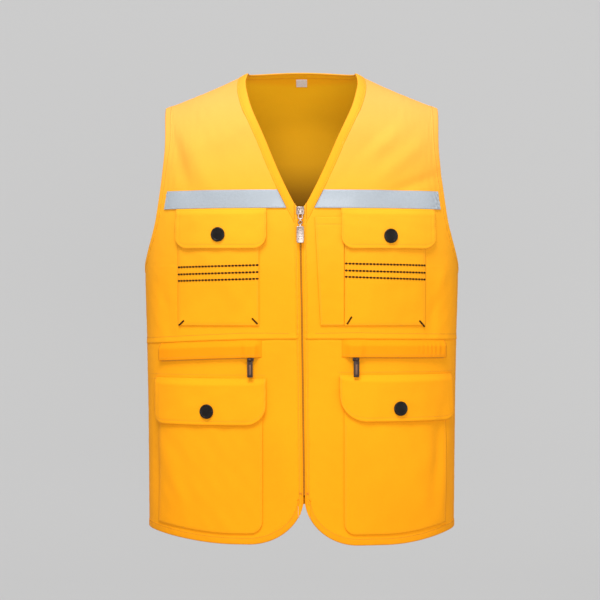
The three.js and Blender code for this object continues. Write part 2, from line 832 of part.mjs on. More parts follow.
// A block between two corners, given as [low, high] along each axis.
function block(xs, ys, zs) {
  const geometry = new THREE.BoxGeometry(xs[1] - xs[0], ys[1] - ys[0], zs[1] - zs[0]);
  geometry.translate((xs[0] + xs[1]) / 2, (ys[0] + ys[1]) / 2, (zs[0] + zs[1]) / 2);
  return asSolid(geometry);
}

// A flat plate from an outline drawn across and up, between two depths.
function plate(shape, from, to) {
  const options = { depth: to - from, bevelEnabled: false, curveSegments: 3 };
  const geometry = new THREE.ExtrudeGeometry(shape, options);
  geometry.rotateX(Math.PI / 2);
  geometry.translate(0, to, 0);
  return asSolid(geometry);
}

function roundedShape(halfWidth, low, high, radius) {
  const shape = new THREE.Shape();
  shape.moveTo(-halfWidth + radius, low);
  shape.lineTo(halfWidth - radius, low);
  shape.absarc(halfWidth - radius, low + radius, radius, -Math.PI / 2, 0, false);
  shape.lineTo(halfWidth, high - radius);
  shape.absarc(halfWidth - radius, high - radius, radius, 0, Math.PI / 2, false);
  shape.lineTo(-halfWidth + radius, high);
  shape.absarc(-halfWidth + radius, high - radius, radius, Math.PI / 2, Math.PI, false);
  shape.lineTo(-halfWidth, low + radius);
  shape.absarc(-halfWidth + radius, low + radius, radius, Math.PI, Math.PI * 1.5, false);
  return shape;
}

const plateFront = cloth + bandOver + seamGap + sliderThickness;
const pullDepth = plateFront + pullPlay + pullThickness / 2;

// Main slider: a rounded plate over the front edges, a stem between them and a crown for the pull.
function zipSlider() {
  const half = sliderLength / 2;
  const back = cloth + bandOver + seamGap;
  const body = plate(roundedShape(sliderWidth / 2, -half, half, sliderWidth / 4), -plateFront, -back);
  const stemHalf = zipOpening / 2 - seamGap;
  const stemReach = half * sliderStemShare;
  const stem = block([-stemHalf, stemHalf], [-back - weld, bandOver + seamGap / 2],
    [-stemReach, stemReach]);
  const arch = block([-crownWidth / 2, crownWidth / 2], [-plateFront - crownHeight, -plateFront + weld],
    [-crownSpan / 2, crownSpan / 2]);
  const hole = block([-crownWidth, crownWidth], [-plateFront - crownHeight + crownBar, -plateFront],
    [-crownSpan / 2 + crownBar, crownSpan / 2 - crownBar]);
  return fromSolid(body.add(stem).add(arch.subtract(hole)));
}

// Main pull: a link with an eye round the crown's foot, a ring and a round-ended tab.
function zipPull() {
  const shape = roundedShape(linkWidth / 2, -linkLength, pullThickness / 2, linkCorner);
  const eye = new THREE.Path();
  eye.moveTo(-linkEye / 2, -linkLength + pullThickness);
  eye.lineTo(-linkEye / 2, -pullThickness / 2);
  eye.lineTo(linkEye / 2, -pullThickness / 2);
  eye.lineTo(linkEye / 2, -linkLength + pullThickness);
  shape.holes.push(eye);
  const ringFoot = -linkLength - ringLength;
  const ring = roundedShape(linkWidth / 2, ringFoot, -linkLength + weld, ringCorner);
  const hole = new THREE.Path();
  hole.absellipse(0, -linkLength - ringLength / 2, ringHole / 2, ringHole / 2, 0, Math.PI * 2, true);
  ring.holes.push(hole);
  const tab = roundedShape(tabWidth / 2, ringFoot - tabLength, ringFoot + weld, tabCorner);
  const from = -pullThickness / 2;
  const to = pullThickness / 2;
  return fromSolid(plate(shape, from, to).add(plate(ring, from, to)).add(plate(tab, from, to)));
}

// Pocket slider: a small block with a bar along the zip, held off it by two posts.
const pocketSliderBack = onShell + pocketChainThickness + seamGap;
const pocketSliderFront = pocketSliderBack + pocketSliderThickness;
const pullLoopInner = pocketCrownBar / Math.SQRT2 + pullPlay;
const pullLoopOuter = pullLoopInner + pullLoopWall;
const pocketBarDepth = pocketSliderFront + pullLoopOuter + pullPlay;
const pocketBarBelow = pullLoopOuter + pullPlay;

function pocketSlider() {
  const high = pocketBarBelow + pocketSliderAbove;
  const wide = pocketSliderWidth / 2;
  const body = block([-wide, wide], [-pocketSliderFront, -pocketSliderBack],
    [high - pocketSliderHeight, high]);
  const half = pocketCrownBar / 2;
  const reach = pocketCrownWidth / 2;
  const posts = [-1, 1].map((end) => block([end * reach - half, end * reach + half],
    [-pocketBarDepth - half, -pocketSliderFront + weld], [-half, half]));
  const bar = block([-reach, reach], [-pocketBarDepth - half, -pocketBarDepth + half], [-half, half]);
  return fromSolid(body.add(posts[0]).add(posts[1]).add(bar));
}

// Pocket pull: a loop round the bar and a plain tab below it.
function pocketPull() {
  const ring = new THREE.Shape();
  ring.absarc(0, 0, pullLoopOuter, 0, Math.PI * 2, false);
  const eye = new THREE.Path();
  eye.absarc(0, 0, pullLoopInner, 0, Math.PI * 2, true);
  ring.holes.push(eye);
  const options = { depth: pullLoopWidth, bevelEnabled: false, curveSegments: 5 };
  const loop = new THREE.ExtrudeGeometry(ring, options);
  loop.rotateY(Math.PI / 2);
  loop.translate(-pullLoopWidth / 2, 0, 0);
  const top = -pullLoopInner - pullLoopWall / 2;
  const tab = roundedShape(pocketPullWidth / 2, -pocketPullLength, top, pocketPullCorner);
  const solid = asSolid(loop).add(plate(tab, -pocketPullThickness / 2, pocketPullThickness / 2));
  return fromSolid(solid);
}

// Press stud: a short post under a low domed cap.
function snap() {
  const radius = snapDiameter / 2;
  const profile = snapRows.map((row) => new THREE.Vector2(radius * row.out, snapPost + snapHeight * row.up));
  profile.unshift(new THREE.Vector2(radius * snapRows[0].out, 0));
  profile.unshift(new THREE.Vector2(0, 0));
  const lathe = new THREE.LatheGeometry(profile, snapSides);
  lathe.rotateX(Math.PI);
  return fromSolid(asSolid(lathe));
}

// The cover strip over a pocket zip stands off further over the slider.
function coverFoot(side, out) {
  return waist(side, out) - seamGap / 2 - coverHeight;
}

function coverOuts(front) {
  const clear = pocketSliderWidth / 2 + 1;
  const start = front.pull + pocketSliderWidth;
  const outs = [coverEnd, front.pull - pocketSliderWidth, front.pull - clear, front.pull + clear, start];
  for (let i = 1; i <= coverSteps; i += 1) outs.push(lerp(start, front.coverReach, i / coverSteps));
  return outs;
}

function zipPocketCover(front) {
  const outs = coverOuts(front);
  const place = (c, r) => {
    const top = waist(front.side, outs[c]) - seamGap / 2;
    const foot = coverFoot(front.side, outs[c]);
    return spotAt(-1, front.side * outs[c], lerp(top, foot, coverRows[r]));
  };
  const under = (c, r) => {
    if (r === 0) return onShell;
    const overSlider = Math.abs(outs[c] - front.pull) < pocketSliderWidth;
    return layerGap + (overSlider ? pocketSliderFront : onShell + pocketChainThickness);
  };
  const last = coverRows.length - 1;
  return wall(-1, outs.length - 1, last, place, under, (c, r) => under(c, r) + cloth);
}

function zipPocketChain(front) {
  const near = coverEnd + pocketChainInset;
  const place = (c, r) => {
    const out = lerp(near, front.coverReach - pocketChainInset, c / coverSteps);
    const z = coverFoot(front.side, out) + (r === 0 ? pocketChainHeight - 1 : -1);
    return spotAt(-1, front.side * out, z);
  };
  return wall(-1, coverSteps, 1, place, () => onShell, () => onShell + pocketChainThickness);
}

// Size label, sewn in under the back neck band on the inner side.
function sizeLabel() {
  const place = (c, r) => {
    const x = (c - 0.5) * labelWidth;
    return spotDown(x, backNeckDrop + neckBandWidth + seamGap + labelHeight * r / labelRows);
  };
  const over = (c, r) => -layerGap - labelHang * (r + 1) / (labelRows + 1);
  return wall(1, 1, labelRows, place, (c, r) => over(c, r) - labelThickness, over);
}

// Assembly.
const neckOuter = neckEdge(0);
const neckInner = neckSeam(0);

addMesh('back_panel', backPanel(), finishes.cloth);
addMesh('hem_band_back', backHemBand(), finishes.cloth);
addMesh('neck_band_back', strip(1, backNeckLine(neckOuter, backNeckDrop),
  backNeckLine(neckInner, backNeckDrop + neckBandWidth), bandUnderLift, bandOverLift), finishes.cloth);
addMesh('size_label', sizeLabel(), finishes.label);

const zipUnder = -bandOver - layerGap;
const zipNear = zipChainWidth / 2 + seamGap;

for (const front of fronts) {
  const { name, side } = front;
  addMesh(`front_upper_${name}`, frontUpper(side), finishes.cloth);
  addMesh(`front_lower_${name}`, frontLower(side), finishes.cloth);
  addMesh(`hem_band_${name}`, hemBand(side), finishes.cloth);
  addMesh(`placket_${name}`, placket(side), finishes.cloth);
  addMesh(`neck_band_${name}`, strip(-1, neckLine(side, neckEdge, 0), neckLine(side, neckSeam, 0),
    bandUnderLift, bandOverLift), finishes.cloth);
  for (const face of [-1, 1]) {
    const sheet = face < 0 ? 'front' : 'back';
    addMesh(`armhole_band_${sheet}_${name}`, strip(face, armholeLine(face, side, 0),
      armholeLine(face, side, armholeBandWidth), bandUnderLift, bandOverLift), finishes.cloth);
  }
  addMesh(`zip_tape_${name}`, zipStrip(side, zipNear, zipNear + zipTapeWidth,
    zipUnder - zipTapeThickness, zipUnder), finishes.cloth);
  addMesh(`reflective_tape_${name}`, tape(side), finishes.tape);

  const chestSeam = tapeDrop + tapeWidth + seamGap;
  const chestFlap = { near: front.flapNear, far: front.flapFar, cornerNear: front.flapCorner,
    cornerFar: front.flapCorner, top: chestSeam, height: chestFlapHeight, fullness: pocketFullness,
    pocketNear: front.pocketNear, pocketFar: front.pocketFar };
  const chestPocket = { near: front.pocketNear, far: front.pocketFar, corner: 0,
    top: chestSeam + chestPocketBelowSeam, foot: () => -chestPocketFoot, fullness: pocketFullness,
    columns: chestPocketColumns };
  addMesh(`chest_pocket_${name}`, pocket(side, chestPocket), finishes.cloth);
  addMesh(`chest_flap_${name}`, flap(side, chestFlap), finishes.cloth);

  const cargoFlap = { near: front.cargoNear, far: front.cargoFar, cornerNear: front.cargoCorner,
    cornerFar: front.flapCorner, top: yokeSeamDrop - front.cargoFlapCut, height: cargoFlapHeight,
    fullness: cargoFullness, pocketNear: front.cargoPocketNear, pocketFar: front.cargoPocketFar };
  const cargoPocket = { near: front.cargoPocketNear, far: front.cargoPocketFar,
    corner: cargoPocketCorner, top: yokeSeamDrop + cargoPocketBelowSeam, fullness: cargoFullness,
    foot: (out) => hemCurve(side, out, hemBandWidth) + cargoFootGap, columns: cargoPocketColumns };
  addMesh(`cargo_pocket_${name}`, pocket(side, cargoPocket), finishes.cloth);
  addMesh(`cargo_flap_${name}`, flap(side, cargoFlap), finishes.cloth);

  const studs = [
    { name: 'chest', out: front.chestSnap, down: front.chestSnapDown, flap: chestFlap },
    { name: 'cargo', out: front.cargoSnap, down: front.cargoSnapDown, flap: cargoFlap },
  ];
  for (const stud of studs) {
    const z = -stud.flap.top - stud.flap.height * stud.down;
    const lift = flapLift(stud.flap, stud.out, stud.down) + cloth + seamGap;
    addMesh(`${stud.name}_snap_${name}`, snap(), finishes.gunmetal, seat(-1, side * stud.out, z, lift));
  }

  addMesh(`zip_pocket_cover_${name}`, zipPocketCover(front), finishes.cloth);
  addMesh(`zip_pocket_chain_${name}`, zipPocketChain(front), finishes.zip);
  const barZ = coverFoot(side, front.pull) - pocketBarBelow;
  const pullSeat = seat(-1, side * front.pull, barZ, 0);
  addMesh(`zip_pocket_slider_${name}`, pocketSlider(), finishes.gunmetal, pullSeat);
  const pullAxis = pullSeat.clone().multiply(new THREE.Matrix4().makeTranslation(0, -pocketBarDepth, 0));
  addMesh(`zip_pocket_pull_${name}`, pocketPull(), finishes.gunmetal, pullAxis);
}

const penPlace = (c, r) => {
  const z = lerp(-penPocketDrop, -chestPocketFoot, r / penRows);
  const near = lerp(penPocketTop, penPocketFoot, r / penRows);
  return spotAt(-1, lerp(near, fronts[1].pocketNear - layerGap, c / penColumns), z);
};
addMesh('pen_pocket', wall(-1, penColumns, penRows, penPlace, () => onShell, () => onShell + cloth),
  finishes.cloth);

addMesh('zip_chain', zipStrip(1, -zipChainWidth / 2, zipChainWidth / 2,
  zipUnder - zipChainThickness, zipUnder), finishes.zip);

const sliderZ = -neckDepth - sliderLength / 2;
const sliderSeat = seat(-1, middle(sliderZ), sliderZ, 0);
addMesh('zip_slider', zipSlider(), finishes.metal, sliderSeat);
const pullPivot = sliderSeat.clone().multiply(new THREE.Matrix4().makeTranslation(0, -pullDepth, 0));
addMesh('zip_pull', zipPull(), finishes.metal, pullPivot);

export default vest;
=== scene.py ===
"""Utility work vest, hanging in its worn shape: golden cotton, reflective tape, zips and press studs."""
import math
from functools import partial

import bmesh
import bpy
import numpy as np
from mathutils import Matrix, Vector


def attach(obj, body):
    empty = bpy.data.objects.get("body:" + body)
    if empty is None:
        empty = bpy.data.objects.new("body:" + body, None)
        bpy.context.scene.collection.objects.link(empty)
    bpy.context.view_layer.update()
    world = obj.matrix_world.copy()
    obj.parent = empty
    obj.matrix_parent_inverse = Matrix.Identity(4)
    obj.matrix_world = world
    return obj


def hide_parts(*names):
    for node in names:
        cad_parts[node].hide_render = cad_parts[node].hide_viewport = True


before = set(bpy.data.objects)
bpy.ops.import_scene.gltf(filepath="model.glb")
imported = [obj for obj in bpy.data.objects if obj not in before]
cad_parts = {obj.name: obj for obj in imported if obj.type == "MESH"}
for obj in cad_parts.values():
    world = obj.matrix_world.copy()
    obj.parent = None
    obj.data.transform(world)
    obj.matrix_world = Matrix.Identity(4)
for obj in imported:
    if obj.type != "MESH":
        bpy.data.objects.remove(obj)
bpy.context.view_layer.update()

# The cloth of the fronts and the back is one plain cotton twill, cut in panels and sewn. It hangs as
# a tube of rounded sections that rolls over the shoulders. Sizes are in millimetres, and the origin
# lies midway between the neck points, with the front towards -Y.
MM = 0.001
BODY_LENGTH = 642
CHEST_HALF = 222
FRONT_DEPTH = 120
BACK_DEPTH = 122
SQUARENESS = 2.2
SHOULDER_HALF = 193.5
SHOULDER_DROP = 50
SHOULDER_ROLL = 90
NECK_POINT_ROUND = 4
SHOULDER_BOW = 0.86
FOLD_DEPTH = 5
NECK_HALF = 79
NECK_DEPTH = 194
BACK_NECK_DROP = 42
BACK_NECK_RISE = 17
UNDERARM_DROP = 272
CLOTH = 1.2
SEAM_GAP = 0.3
LAYER_GAP = 0.7
ON_SHELL = CLOTH + LAYER_GAP

BODY = {
    "down": (0.00, 0.14, 0.33, 0.48, 0.64, 0.91, 1.04),
    "wide": (0.985, 0.990, 1.000, 0.990, 0.981, 0.973, 0.968),
    "fore": (0.80, 0.92, 1.00, 0.98, 0.94, 0.95, 0.95),
    "aft": (0.90, 1.00, 1.00, 0.93, 0.90, 0.95, 0.97),
}
NECK_EDGE = {
    "down": (0.00, 0.08, 0.19, 0.30, 0.50, 0.66, 0.81, 0.95, 0.985, 1.02, 1.05),
    "out": (0.955, 0.990, 0.945, 0.860, 0.640, 0.475, 0.310, 0.138, 0.087, 0.025, 0.000),
}
# Rolls and dents of the hanging cloth: face, across, spread, top, foot, rise.
FOLDS = (
    (-1, -0.86, 0.10, 0.60, 1.10, 0.8),
    (-1, -0.30, 0.13, 0.72, 1.15, -0.5),
    (-1, 0.84, 0.10, 0.58, 1.10, 0.7),
    (-1, 0.34, 0.13, 0.70, 1.15, -0.4),
    (-1, -0.84, 0.09, 0.28, 0.56, -0.8),
    (-1, 0.84, 0.09, 0.28, 0.56, -0.8),
    (1, -0.45, 0.14, 0.42, 1.20, 1.0),
    (1, 0.45, 0.14, 0.42, 1.20, 1.0),
    (1, 0.00, 0.20, 0.40, 1.20, -0.8),
)
# Soft drag lines of the cloth: face, the two ends across and up, half width, rise.
DRAGS = (
    (-1, -158, -95, -130, -168, 14, 2.5),
    (-1, -182, -85, -160, -165, 9, -2.6),
    (-1, 150, -75, 96, -120, 12, 2.2),
    (-1, 122, -78, 70, -128, 9, -1.2),
    (-1, 170, -100, 104, -158, 11, 2.3),
    (-1, 190, -148, 118, -176, 8, -2.4),
    (-1, -196, -300, -182, -372, 9, -1.4),
    (-1, 200, -275, 182, -330, 8, 1.5),
    (-1, 188, -300, 178, -372, 7, -1.6),
    (-1, -207, -450, -203, -600, 7, -2.2),
    (-1, -196, -520, -160, -610, 10, 1.6),
    (-1, 205, -480, 196, -610, 8, 2.2),
    (-1, 192, -480, 182, -600, 8, -2.0),
    (-1, -30, -440, -24, -600, 12, 0.8),
    (-1, 34, -430, 30, -590, 12, 0.9),
    (1, -120, -120, -60, -230, 24, -2.2),
    (1, 120, -120, 60, -230, 24, -2.2),
    (1, -180, -300, -120, -420, 18, 2.0),
    (1, 175, -290, 110, -430, 18, 2.0),
    (1, -40, -330, 20, -560, 22, -2.0),
    (1, 100, -470, 120, -620, 16, 2.2),
    (1, -110, -480, -130, -620, 16, 2.0),
)


def lerp(start, end, share):
    return start + (end - start) * share


def ease(share):
    s = np.clip(share, 0, 1)
    return s * s * (3 - 2 * s)


def bell(share):
    return np.exp(-(share ** 2))


def quarter(share):
    """A quarter turn's angle at a share of the way."""
    return np.clip(share, 0, 1) * math.pi / 2


def follow(along, column, at):
    """A smooth curve through a table's columns."""
    along, column, at = np.asarray(along, float), np.asarray(column, float), np.asarray(at, float)
    last = len(along) - 1
    i = np.searchsorted(along[1:last], at, side="left")
    before = np.maximum(np.arange(last + 1) - 1, 0)
    after = np.minimum(np.arange(last + 1) + 1, last)
    slope = (column[after] - column[before]) / (along[after] - along[before])
    span = along[i + 1] - along[i]
    s = np.clip((at - along[i]) / span, 0, 1)
    ends = column[i] * (1 + 2 * s) * (1 - s) ** 2 + column[i + 1] * s * s * (3 - 2 * s)
    return ends + slope[i] * span * s * (1 - s) ** 2 - slope[i + 1] * span * s * s * (1 - s)


def ripple(a, b, size, seed):
    """Soft unevenness over a surface, about -1 to 1, from waves of that size."""
    draws = np.random.default_rng(seed)
    total = 0
    for _ in range(7):
        heading, length = draws.uniform(0, math.tau), size * draws.uniform(0.6, 1.6)
        start = draws.uniform(0, math.tau)
        total = total + np.sin((a * math.cos(heading) + b * math.sin(heading)) * math.tau / length + start)
    return total / 3.5


NECK_POINT = NECK_HALF * NECK_EDGE["out"][0]


def ridge(face, x):
    """Height of the shoulder line over a place across the body."""
    def fall(reach):
        return (np.hypot(reach, NECK_POINT_ROUND) - NECK_POINT_ROUND) ** SHOULDER_BOW

    beyond = np.abs(x) - NECK_POINT
    slope = -SHOULDER_DROP * fall(np.maximum(beyond, 0)) / fall(SHOULDER_HALF - NECK_POINT)
    rise = (BACK_NECK_RISE if face > 0 else 0) * (1 - (x / NECK_POINT) ** 2)
    return np.where(beyond > 0, slope, rise)


def depth_at(way):
    """How far below the shoulder line a way down the cloth is, as the cloth rolls over it."""
    quarter = SHOULDER_ROLL * math.pi / 2
    rolled = SHOULDER_ROLL * (1 - np.cos(way / SHOULDER_ROLL))
    return np.where(way > quarter, SHOULDER_ROLL + way - quarter, rolled)


def way_at(depth):
    rolled = SHOULDER_ROLL * np.arccos(np.clip(1 - depth / SHOULDER_ROLL, -1, 1))
    return np.where(depth > SHOULDER_ROLL, depth + SHOULDER_ROLL * (math.pi / 2 - 1), rolled)


def half_width_at(depth):
    return CHEST_HALF * follow(BODY["down"], BODY["wide"], depth / BODY_LENGTH)


def fold_at(face, across, depth):
    rise = 0
    for fold_face, place, spread, top, foot, height in FOLDS:
        if fold_face != face:
            continue
        within = ease(1 - np.abs(depth / BODY_LENGTH - (top + foot) / 2) / ((foot - top) / 2))
        rise = rise + height * bell((across - place) / spread) * within
    return FOLD_DEPTH * rise * (1 - np.abs(across) ** 8)


def body_point(face, turn, way):
    """A point of the bare body: turn runs from -1 at the right side seam to 1 at the left one."""
    depth = depth_at(way)
    angle = turn * math.pi / 2
    reach = np.abs(np.sin(angle)) ** (2 / SQUARENESS) * np.sign(turn)
    fore = np.abs(np.cos(angle)) ** (2 / SQUARENESS) * np.sign(np.cos(angle))
    x = half_width_at(depth) * reach
    sheet_depth = FRONT_DEPTH if face < 0 else BACK_DEPTH
    deep = sheet_depth * follow(BODY["down"], BODY["fore" if face < 0 else "aft"], depth / BODY_LENGTH)
    roll = np.where(way > SHOULDER_ROLL * math.pi / 2, 1, np.sin(way / SHOULDER_ROLL))
    y = deep * fore * roll + fold_at(face, reach, depth) * fore + SEAM_GAP / 2
    return np.stack([x, face * y, ridge(face, x) - depth], axis=-1)


def along_turn(face, turn, way):
    return (body_point(face, turn + 0.004, way) - body_point(face, turn - 0.004, way)) / 0.008


def along_way(face, turn, way):
    return (body_point(face, turn, way + 1) - body_point(face, turn, way - 1)) / 2


def body_normal(face, turn, way):
    out = -face * np.cross(along_way(face, turn, way), along_turn(face, turn, way))
    return out / np.linalg.norm(out, axis=-1, keepdims=True)


def drag_at(face, x, z):
    """How far the drag lines push the cloth out or in, fading at their ends."""
    total = 0
    for line_face, x0, z0, x1, z1, width, rise in DRAGS:
        if line_face != face:
            continue
        span = math.hypot(x1 - x0, z1 - z0)
        ahead = ((x - x0) * (x1 - x0) + (z - z0) * (z1 - z0)) / span ** 2
        aside = ((x - x0) * (z1 - z0) - (z - z0) * (x1 - x0)) / span
        total = total + rise * bell(aside / width) * ease(1.25 - np.abs(ahead - 0.5) * 1.6)
    return total


def lifted(face, turn, way, lift):
    """Points off the body by a lift, in millimetres, with the drag lines of the cloth."""
    bare = body_point(face, turn, way)
    hung = lift + drag_at(face, bare[..., 0], bare[..., 2])
    return bare + body_normal(face, turn, way) * hung[..., None]


def turn_at(x, depth):
    """The turn at a place across, at a depth below the shoulder line."""
    share = np.clip(np.abs(x) / half_width_at(depth), 0, 1)
    return np.arcsin(share ** (SQUARENESS / 2)) * 2 / math.pi * np.sign(x)


def spot_at(face, x, z):
    """Where a place across and a height lie on the body."""
    depth = ridge(face, x) - z
    return turn_at(x, depth), way_at(depth)


def spot_down(x, way):
    return turn_at(x, depth_at(way)), way


def solve(fn, low, high):
    """Where a falling function crosses zero."""
    for _ in range(40):
        half_way = (low + high) / 2
        if fn(half_way) > 0:
            low = half_way
        else:
            high = half_way
    return (low + high) / 2


def run_of(points):
    """The length along a line of points, from its start."""
    return np.concatenate([[0], np.cumsum(np.linalg.norm(np.diff(points, axis=0), axis=1))])


# The length of cloth across the chest at each turn, which the weave follows.
ARC_TURNS = np.linspace(-1, 1, 201)
ARC_LENGTHS = run_of(body_point(-1, ARC_TURNS, np.full(201, 260.0)))
ARC_LENGTHS = ARC_LENGTHS - ARC_LENGTHS[100]
# Each cloth piece's face, place and lift, which its sewing follows too.
CLOTHS = {}


def laid(name, u, v, more=0):
    """Turns, ways and points of places on a cloth piece, at its outer face or off it."""
    face, place, over = CLOTHS[name]
    turn, way = place(u, v)
    lift = over(u, v) if callable(over) else np.full(len(u), float(over))
    return turn, way, lifted(face, turn, way, lift + more)


def mesh_from(name, bm, material):
    mesh = bpy.data.meshes.new(name)
    bm.to_mesh(mesh)
    bm.free()
    mesh.materials.append(material)
    return mesh


def placed(name, data):
    piece = bpy.data.objects.new(name, data)
    bpy.context.scene.collection.objects.link(piece)
    return piece


def cloth_piece(name, node, material, place, columns, rows, over, thickness, face=-1,
                inside=None):
    """A sheet of cloth over the body: a fine grid moved onto it, with its own thickness inwards."""
    CLOTHS[name] = (face, place, over)
    bm = bmesh.new()
    bmesh.ops.create_grid(bm, x_segments=columns, y_segments=rows, size=0.5)
    mesh = mesh_from(name, bm, material)
    flat = np.empty(len(mesh.vertices) * 3)
    mesh.vertices.foreach_get("co", flat)
    flat = flat.reshape(-1, 3)
    turn, way, points = laid(name, flat[:, 0] + 0.5, 0.5 - flat[:, 1])
    mesh.vertices.foreach_set("co", (points * MM).ravel())
    mesh.update()
    normals = np.empty(len(mesh.vertices) * 3)
    mesh.vertices.foreach_get("normal", normals)
    if (normals.reshape(-1, 3) * body_normal(face, turn, way)).sum() < 0:
        mesh.flip_normals()
    weave = mesh.uv_layers.new(name="weave")
    corners = np.empty(len(mesh.loops), dtype=np.int64)
    mesh.loops.foreach_get("vertex_index", corners)
    spread = np.stack([np.interp(turn, ARC_TURNS, ARC_LENGTHS), -way], axis=-1) * MM
    weave.data.foreach_set("uv", spread[corners].ravel())
    mesh.shade_smooth()
    piece = placed(name, mesh)
    wall = piece.modifiers.new("thickness", "SOLIDIFY")
    wall.thickness = thickness * MM
    wall.offset = -1
    if inside:
        mesh.materials.append(inside)
        wall.material_offset = 1
    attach(piece, "vest")
    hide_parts(node)
    return piece


def fill(node, inputs):
    """Links an input to what is a socket, and sets it to what is a value."""
    for key, value in inputs.items():
        if isinstance(value, bpy.types.NodeSocket):
            node.id_data.links.new(value, node.inputs[key])
        else:
            node.inputs[key].default_value = value


def new_material(name, inputs):
    material = bpy.data.materials.new(name)
    material.use_nodes = True
    shader = material.node_tree.nodes["Principled BSDF"]
    fill(shader, inputs)
    return material, shader


def add_node(material, kind, inputs, **settings):
    """The outputs of a new node of that kind, with its inputs filled."""
    node = material.node_tree.nodes.new("ShaderNode" + kind)
    for key, value in settings.items():
        setattr(node, key, value)
    fill(node, inputs)
    return node.outputs


def color_stops(material, factor, stops):
    """The colour of a ramp with stops of share, red, green and blue."""
    ramp = material.node_tree.nodes.new("ShaderNodeValToRGB")
    fill(ramp, {"Fac": factor})
    elements = ramp.color_ramp.elements
    for row, (share, *color) in enumerate(stops):
        stop = elements[row] if row < 2 else elements.new(share)
        stop.position = share
        stop.color = (*color, 1)
    return ramp.outputs["Color"]


def cotton(name, heights, glow=0.0):
    """Cotton twill: fine diagonal ribs, soft unevenness of the dye, and a dull fuzzy surface. Its
    colour follows a table of heights that paints light and shade into it: paler towards the
    shoulders as painted light. The glow is painted light, an emission in the table's colour."""
    material, shader = new_material(name, {
        "Roughness": 0.82, "Specular IOR Level": 0.08, "Sheen Weight": 0.03, "Sheen Roughness": 0.45,
        "Sheen Tint": (1.0, 0.82, 0.42, 1), "Emission Strength": glow,
    })
    add = partial(add_node, material)
    place = add("TexCoord", {})
    dye = add("TexNoise", {"Vector": place["Object"], "Scale": 9, "Detail": 3})
    slub = add("TexNoise", {"Vector": place["Object"], "Scale": 420, "Detail": 2})
    mottle = add("Math", {0: slub["Fac"], 1: 0.35, 2: dye["Fac"]}, operation="MULTIPLY_ADD")
    uneven = add("MapRange", {"Value": mottle[0], "From Min": 0.42, "From Max": 0.92,
                              "To Min": 0.90, "To Max": 1.0})
    low, high = heights[0][0], heights[-1][0]
    split = add("SeparateXYZ", {0: place["Object"]})
    height = add("MapRange", {"Value": split["Z"], "From Min": low, "From Max": high})
    stops = [((z - low) / (high - low), *color) for z, *color in heights]
    color = color_stops(material, height["Result"], stops)
    dyed = add("VectorMath", {0: color, "Scale": uneven["Result"]}, operation="SCALE")
    turned = add("Mapping", {"Vector": place["UV"], "Rotation": (0, 0, math.radians(58))})
    ribs = add("TexWave", {"Vector": turned["Vector"], "Scale": 290, "Distortion": 0.6, "Detail": 1,
                           "Detail Scale": 3})
    grain = add("Math", {0: slub["Fac"], 1: 0.8, 2: ribs["Fac"]}, operation="MULTIPLY_ADD")
    bump = add("Bump", {"Strength": 0.12, "Distance": 0.0006, "Height": grain[0]})
    fill(shader, {"Base Color": dyed["Vector"], "Normal": bump["Normal"]})
    if glow:
        fill(shader, {"Emission Color": color})
    return material


# Height in metres, then red, green and blue.
GOLD_WITH_PAINTED_LIGHT = ((-0.62, 0.97, 0.352, 0.005), (-0.30, 0.97, 0.374, 0.008), (-0.20, 0.97, 0.408, 0.018),
                (-0.11, 0.97, 0.428, 0.056), (-0.04, 0.97, 0.440, 0.092))
BAND_SHADE_HEIGHTS = ((-0.62, 0.90, 0.320, 0.005), (-0.30, 0.97, 0.362, 0.008), (-0.20, 0.97, 0.385, 0.012),
                (-0.11, 0.97, 0.400, 0.020), (-0.04, 0.97, 0.415, 0.030))
INSIDE_SHADE_AND_GLOW_HEIGHTS = ((-0.20, 0.08, 0.036, 0.001), (-0.165, 0.23, 0.106, 0.003), (-0.12, 0.54, 0.272, 0.007),
                  (-0.010, 0.95, 0.505, 0.010), (-0.004, 0.95, 0.440, 0.008))
# The golden twill is paler and yellower towards the shoulders: painted light from above.
gold = cotton("golden twill", GOLD_WITH_PAINTED_LIGHT)
# The neck and hem bands are darker than the cloth: painted shade along the turned edges.
gold_band_shaded = cotton("golden twill of the edges, painted shade", BAND_SHADE_HEIGHTS)
# The inside of the back darkens towards the bottom as painted shade, and its glow is painted light.
inside_shade_and_glow = cotton("inside of the golden twill, painted shade and glow", INSIDE_SHADE_AND_GLOW_HEIGHTS, 0.2)

# The fronts above the waist seam, cut in one from the shoulder to the waist. Their edges run in under
# the bands, and the foot is turned under and lies over the lower front.
NECK_BAND = 12
STRAIGHT_NECK = 0.88
ARMHOLE_BAND = 11.5
PLACKET = 8
TUCK = 3.5
ZIP_SHIFT = 3.4
WAIST_DROP = 376
WAIST_SAG = {-1: 0.01246 * BODY_LENGTH, 1: 0.00312 * BODY_LENGTH}
LEAN = {"down": (0.00, 0.30, 0.55, 0.93, 1.05), "lean": (0.00, -0.62, 0.10, 1.00, 1.10)}
ARMHOLE = {
    "down": (0.00, 0.26, 0.45, 0.63, 0.73, 0.81, 0.91, 1.00),
    "out": (0.00, -0.06, 0.08, 0.28, 0.41, 0.57, 0.80, 1.00),
}
ABOVE_UNDERARM = 0.7
NECK_ROWS_SHARE = 0.7
NAMES = {-1: "right", 1: "left"}


def spread_share(share):
    return np.sin(quarter(share)) ** (2 / SQUARENESS)


def side_seam_at(z):
    return half_width_at(ridge(-1, np.float64(CHEST_HALF)) - z)


def middle(z):
    """The middle line of the fronts, where the zip runs."""
    return ZIP_SHIFT * follow(LEAN["down"], LEAN["lean"], -z / BODY_LENGTH)


def out_at(side, out, z):
    return side * out + middle(z) * (1 - out / side_seam_at(z))


def neck_edge(z):
    return NECK_HALF * follow(NECK_EDGE["down"], NECK_EDGE["out"], -z / NECK_DEPTH)


